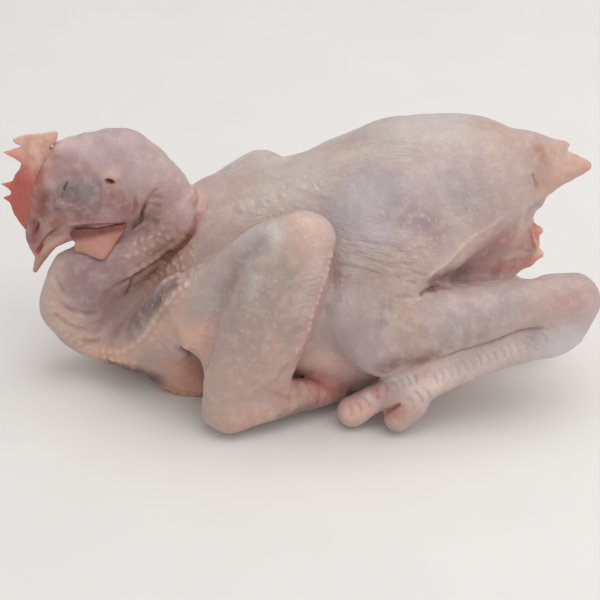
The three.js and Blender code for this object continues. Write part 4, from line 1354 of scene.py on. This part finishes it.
def finish_material(tree, colour, roughness, height, subsurface, reach):
    """Ends a material. The height and the light's reach under the surface are in mm."""
    bump = add(tree, "ShaderNodeBump", {"Height": height, "Distance": MM, "Strength": 1.0})
    shader = add(tree, "ShaderNodeBsdfPrincipled", {
        "Base Color": colour,
        "Roughness": roughness,
        "Normal": bump.outputs[0],
        "Subsurface Weight": subsurface,
        "Subsurface Radius": FLESH_GLOW,
        "Subsurface Scale": reach * MM,
    })
    output = add(tree, "ShaderNodeOutputMaterial")
    tree.links.new(shader.outputs[0], output.inputs[0])


PIT_SCATTER = 0.85  # how far the bumps stray from an even grid
PIT_DOME = 0.46  # a bump's radius, as a share of the cell that it stands in


def bristle_pits(tree, place, size, chance):
    """Small round bumps at random places: 1 at a bump's top."""
    sockets = {"Vector": place, "Scale": 1 / (size * MM), "Randomness": PIT_SCATTER}
    cells = add(tree, "ShaderNodeTexVoronoi", sockets)
    draw = add(tree, "ShaderNodeSeparateColor", {0: cells.outputs["Color"]}).outputs[0]
    dome = ranged(tree, cells.outputs["Distance"], 0.0, PIT_DOME, 1.0, 0.0)
    return calc(tree, "MULTIPLY", dome, calc(tree, "GREATER_THAN", draw, 1 - chance))


SKIN_LAYERS = [
    (16, 3, 0.35, 0.7, 0.2, (168, 134, 138)),
    (5, 3, 0.42, 0.72, 0.26, (224, 206, 192)),
    (1.6, 4, 0.3, 0.75, 0.14, (164, 128, 118)),
]
SKIN_PITS = 3.1, 0.7  # size in mm and chance
PIT_HEIGHT = 0.5
# The pits' pale tops are partly their own pale tone and partly a painted highlight.
PIT_SHARE, PIT_TONE_AND_HIGHLIGHT = 0.42, (232, 220, 210)
LINE_WOBBLE = 0.5
LINE_LOW, LINE_HIGH = 0.32, 0.54  # readings of the noise that a wrinkle lies between
# The colour that wrinkle grooves are darkened toward: painted shade in them.
LINE_SHARE, LINE_SHADE_COLOUR = 0.32, (160, 124, 112)
SKIN_RELIEF = [(1.6, 4, 0.24), (3.6, 2, 0.3)]  # size in mm, detail and height
SKIN_ROUGHNESS = 9, 0.34, 0.52  # size in mm, least and most
SKIN_DEPTH = 0.22, 5  # how strongly light goes under the surface, and its reach in mm


GRAIN_LOW, GRAIN_HIGH = 0.3, 0.7  # readings that most of a noise lies between


def rough(tree, place, size, least, most):
    """A roughness that changes softly over the surface."""
    return ranged(tree, grain(tree, place, size), GRAIN_LOW, GRAIN_HIGH, least, most)


def wrinkle_grooves(tree, place):
    """Wavy grooves where the skin has wrinkles: -1 times their depth at a groove's bottom."""
    wobble = calc(tree, "MULTIPLY", grain(tree, place, 6), LINE_WOBBLE)
    grid = add(tree, "ShaderNodeCombineXYZ", {
        "X": calc(tree, "ADD", fact(tree, "line_across"), wobble),
        "Y": calc(tree, "ADD", fact(tree, "line_along"), wobble),
    })
    sockets = {"Vector": grid.outputs[0], "Scale": 1.0, "Detail": 1.0}
    waves = add(tree, "ShaderNodeTexNoise", sockets, noise_dimensions="2D").outputs["Fac"]
    groove = ranged(tree, waves, LINE_LOW, LINE_HIGH, -1.0, 0.0)
    return calc(tree, "MULTIPLY", groove, fact(tree, "line_depth"))


def skin_material():
    material, tree = new_material("plucked_skin")
    place = add(tree, "ShaderNodeTexCoord").outputs["Object"]
    pits = calc(tree, "MULTIPLY", bristle_pits(tree, place, *SKIN_PITS), fact(tree, "pits"))
    lines = wrinkle_grooves(tree, place)
    colour = layered(tree, place, fact(tree, "tint", "Color"), SKIN_LAYERS)
    # Pale tops of the bristle pits: their own tone, partly a painted highlight.
    colour = mixed(tree, calc(tree, "MULTIPLY", pits, PIT_SHARE), colour, rgba(PIT_TONE_AND_HIGHLIGHT))
    # Wrinkle grooves darkened: painted shade in them.
    colour = mixed(tree, calc(tree, "MULTIPLY", lines, -LINE_SHARE, True), colour, rgba(LINE_SHADE_COLOUR))
    grains = [(grain(tree, place, size, detail), height) for size, detail, height in SKIN_RELIEF]
    relief = weighed(tree, (pits, PIT_HEIGHT), (lines, 1.0), *grains)
    finish_material(tree, colour, rough(tree, place, *SKIN_ROUGHNESS), relief, *SKIN_DEPTH)
    return material


FLESH_PITS = 1.1, 0.9
FLESH_PIT_HEIGHT = 0.06
FLESH_RELIEF = 3, 3, 0.4
FLESH_ROUGHNESS = 5, 0.42, 0.6
FLESH_DEPTH = 0.45


def flesh_material(name, deep, pale, reach):
    """The comb's and the wattles' flesh, tinted by the piece and mottled with two more colours."""
    material, tree = new_material(name)
    place = add(tree, "ShaderNodeTexCoord").outputs["Object"]
    layers = [(4, 3, 0.35, 0.7, 0.3, deep), (1.2, 2, 0.45, 0.8, 0.12, pale)]
    colour = layered(tree, place, fact(tree, "tint", "Color"), layers)
    size, detail, height = FLESH_RELIEF
    relief = weighed(tree, (bristle_pits(tree, place, *FLESH_PITS), FLESH_PIT_HEIGHT),
                     (grain(tree, place, size, detail), height))
    finish_material(tree, colour, rough(tree, place, *FLESH_ROUGHNESS), relief, FLESH_DEPTH, reach)
    return material


# Comb and wattles: plates, thick at the root and thin at the rim. Their outlines are in the head's
# own frame: how far forward and how far up, in mm.

COMB = [
    (5.8, 32.2), (2.1, 31.9), (0.2, 32.2), (-2.6, 33.7), (-4.2, 35.2), (-1.2, 37.9), (2.6, 41.2),
    (6.4, 44.4), (10.5, 47.3), (14.4, 49.5), (15.6, 46.6), (15, 44), (18.9, 46.9), (22.6, 50.2),
    (22.2, 45.7), (21.9, 41.6), (21.9, 38.8), (24.2, 37.6), (28.3, 37.5), (31.5, 36.5), (34.3, 38.4),
    (36.8, 41), (36.8, 35.6), (37.5, 33.4), (39.1, 32.6), (42.6, 34.7), (43.1, 30.4), (44.5, 27.7),
    (47, 24.6), (48.7, 19.8), (49.5, 15.5), (46, 11), (38, 9), (20, 14), (3, 24),
]
WATTLE = [
    (36.2, -5), (37.6, -7.4), (36.4, -9.4), (34.7, -11.9), (33, -14.5), (31.2, -17.7), (29.6, -19.6),
    (27.6, -20), (24.4, -20.2), (20, -20), (15.4, -19.6), (11, -18.8), (9.3, -16.6), (13.5, -12), (20, -7),
    (24, -3), (28, 1), (32, 1), (33.3, -3.9),
]


def flat_distance(points, outline):
    """Signed distance in a plane from a closed outline, negative inside."""
    outline = np.array(outline, float)
    best = np.full(len(points), np.inf)
    inside = np.zeros(len(points), bool)
    for a, b in zip(outline, np.roll(outline, -1, 0)):
        best = np.minimum(best, (along_segment(points, a, b)[1] ** 2).sum(1))
        straddles = (a[1] > points[:, 1]) != (b[1] > points[:, 1])
        run = (b[0] - a[0]) * (points[:, 1] - a[1]) / ((b[1] - a[1]) or 1) + a[0]
        inside ^= straddles & (points[:, 0] < run)
    return np.where(inside, -1, 1) * np.sqrt(best)


ROOT_FLARE = 1.6  # how much thicker a plate's half gets where it leaves the head
ROOT_REACH = 2.2  # how far from the head that goes
ROOT_FADE = 2.4  # how far the face's colour runs into a plate
RIM_INSET = 0.6  # how far the rim stays inside the outline, in half rim thicknesses
RIM_ROUND = 1.2
PLATE_UNEVEN = [(0.25, 4, 5), (0.12, 1.6, 9)]
PLATE_STEPS = 2


def plate(outline, middle, rim, thickest, rise):
    """A plate in the head's frame. middle gives its middle surface's side coordinate, rim and
    thickest are half thicknesses, and rise is how fast it gets thicker from its rim inwards."""
    skull = head()

    def field(points):
        local = to_head(points)
        d = flat_distance(local[:, :2], outline)
        half = rim + (thickest - rim) * (1 - np.exp(np.minimum(d, 0) / rise))
        half += ROOT_FLARE * np.exp(-np.maximum(skull(points), 0) / ROOT_REACH)
        return rounded_max(RIM_ROUND, d + RIM_INSET * rim, abs(local[:, 2] - middle(local)) - half)

    return field


def plate_piece(name, field, low, high, pitch, tint_of, material):
    """A plate's piece, from its field between two corners in the head's frame."""
    box = from_head(list(itertools.product(*zip(low, high))))
    points, faces = meshed(field, box.min(0), box.max(0), pitch, PLATE_STEPS)
    moved = points + mesh_outward(points, faces) * unevenness(points, PLATE_UNEVEN)[:, None]
    make_object(name, moved, faces, {"tint": tint_of(to_head(points))}, material)


def faded(share, a, b):
    """Two colours mixed by a share for each point."""
    return a + share[:, None] * (b - a)


COMB_PEACH = np.array((230, 196, 178))
COMB_RED = np.array((196, 98, 86))
COMB_RIM = np.array((234, 182, 162))
RED_ROOT = np.array((184, 112, 102))
PINK_ROOT = np.array((200, 158, 152))
RIM_SHARE = 0.4


def comb_tint(local):
    """Pale peach at the comb's top, deep red at its front, and the face's colour at its root."""
    x, y, _ = local.T
    front = rising(x, 12, 17)
    rim = rising(y + 0.35 * x, 42, 14)
    root = np.exp(-np.maximum(head()(from_head(local)), 0) / ROOT_FADE)
    tint = faded(RIM_SHARE * rim, faded(front, COMB_PEACH, COMB_RED), COMB_RIM)
    return faded(root, tint, faded(front, PINK_ROOT, RED_ROOT))


WATTLE_PINK = np.array((202, 148, 134))
# Painted shadow of the jaw on the wattle's top.
WATTLE_JAW_SHADOW = np.array((118, 66, 60))
JAW_SLOPE, JAW_DROP = 0.78, 24.9  # the jaw's line in the head's frame
JAW_SHADE_START, JAW_SHADE_RUN = 0.3, 4


def wattle_tint(local):
    """Pink, and dark just under the line of the jaw, where the jaw's shadow is painted."""
    below_jaw = (JAW_SLOPE * local[:, 0] - local[:, 1] - JAW_DROP) / math.hypot(JAW_SLOPE, 1)
    return faded(rising(below_jaw, JAW_SHADE_START, JAW_SHADE_RUN), WATTLE_JAW_SHADOW, WATTLE_PINK)


COMB_PITCH = 0.62
WATTLE_PITCH = 0.7
WATTLE_SIDE = 12.2  # how far a wattle hangs from the head's middle plane
WATTLE_PUSH = 5.5  # how much further out it lies where it rests on the neck


def make_comb():
    """The comb, which waves a little from side to side."""
    def middle(local):
        x, y, _ = local.T
        return 0.9 * np.sin(0.16 * x) + 0.5 * np.sin(0.4 * y + 0.2 * x)

    field = plate(COMB, middle, rim=0.7, thickest=2.6, rise=9)
    material = flesh_material("comb_flesh", (176, 78, 64), (240, 190, 160), 4)
    plate_piece("comb", field, (-7, 6, -8), (53, 53, 8), COMB_PITCH, comb_tint, material)


def make_wattle(side):
    """A wattle, at the head's left (-1) or right (1) side."""
    def middle(local):
        """Its side coordinate, further out where the wattle lies on the neck."""
        x, y, _ = local.T
        over_neck = np.exp(-((x - 30) / 7) ** 2 - ((y + 18.5) / 9) ** 2)
        return side * (WATTLE_SIDE + WATTLE_PUSH * over_neck + 0.5 * np.sin(0.25 * x))

    field = plate(WATTLE, middle, rim=0.8, thickest=1.7, rise=6)
    material = flesh_material("wattle_flesh", (184, 112, 98), (224, 176, 158), 3)
    low, high = sorted((side * 6, side * 22))
    name = "wattle_left" if side < 0 else "wattle_right"
    plate_piece(name, field, (7, -24, low), (40, 5, high), WATTLE_PITCH, wattle_tint, material)


# Stage.

FLOOR_HALF = 3.0  # metres
FLOOR_GRAIN = 60  # mm
FLOOR_COLOURS = (232, 230, 227), (238, 236, 233)
SKY_COLOUR = (1.0, 0.99, 0.98, 1)
SKY_POWER = 0.58


def floor_and_world():
    mesh = bpy.data.meshes.new("floor")
    corners = [(x * FLOOR_HALF, y * FLOOR_HALF, 0) for x, y in ((-1, -1), (1, -1), (1, 1), (-1, 1))]
    mesh.from_pydata(corners, [], [(0, 1, 2, 3)])
    floor = bpy.data.objects.new("floor", mesh)
    bpy.context.scene.collection.objects.link(floor)
    material, tree = new_material("floor_paper")
    place = add(tree, "ShaderNodeTexCoord").outputs["Object"]
    colour = mixed(tree, grain(tree, place, FLOOR_GRAIN), *[rgba(tone) for tone in FLOOR_COLOURS])
    shader = add(tree, "ShaderNodeBsdfPrincipled", {"Base Color": colour, "Roughness": 0.8})
    tree.links.new(shader.outputs[0], add(tree, "ShaderNodeOutputMaterial").inputs[0])
    mesh.materials.append(material)
    world = bpy.data.worlds.new("studio")
    world.use_nodes = True
    sky = world.node_tree.nodes["Background"]
    sky.inputs["Color"].default_value = SKY_COLOUR
    sky.inputs["Strength"].default_value = SKY_POWER
    bpy.context.scene.world = world


# The lamps' names, places and sizes in metres, and powers in watts.
LAMPS = [
    ("key_lamp", (0.35, 0.0, 1.3), 1.4, 9.5),
    ("fill_lamp", (0.9, -0.9, 0.6), 1.1, 2.5),
]
LAMP_AIM = (0, 0, 0.05)


def lamps():
    for name, place, size, power in LAMPS:
        data = bpy.data.lights.new(name, "AREA")
        data.energy = power
        data.size = size
        lamp = bpy.data.objects.new(name, data)
        lamp.location = place
        lamp.rotation_euler = (Vector(LAMP_AIM) - Vector(place)).to_track_quat("-Z", "Y").to_euler()
        bpy.context.scene.collection.objects.link(lamp)


def camera():
    data = bpy.data.cameras.new("camera")
    data.sensor_width = SENSOR
    data.lens = FOCAL_PIXELS / PICTURE * SENSOR
    data.clip_start = 0.01
    cam = bpy.data.objects.new("camera", data)
    cam.location = (EYE - PART_ORIGIN) * MM
    cam.rotation_euler = Matrix((VIEW_RIGHT, VIEW_UP, -VIEW)).transposed().to_euler()
    bpy.context.scene.collection.objects.link(cam)
    bpy.context.scene.camera = cam


camera()
lamps()
floor_and_world()
bpy.context.scene.view_settings.view_transform = "Standard"

chicken_skin = make_object("skin", *marked_skin(flesh()), skin_material())
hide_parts("chicken")
make_comb()
for side in (-1, 1):
    make_wattle(side)
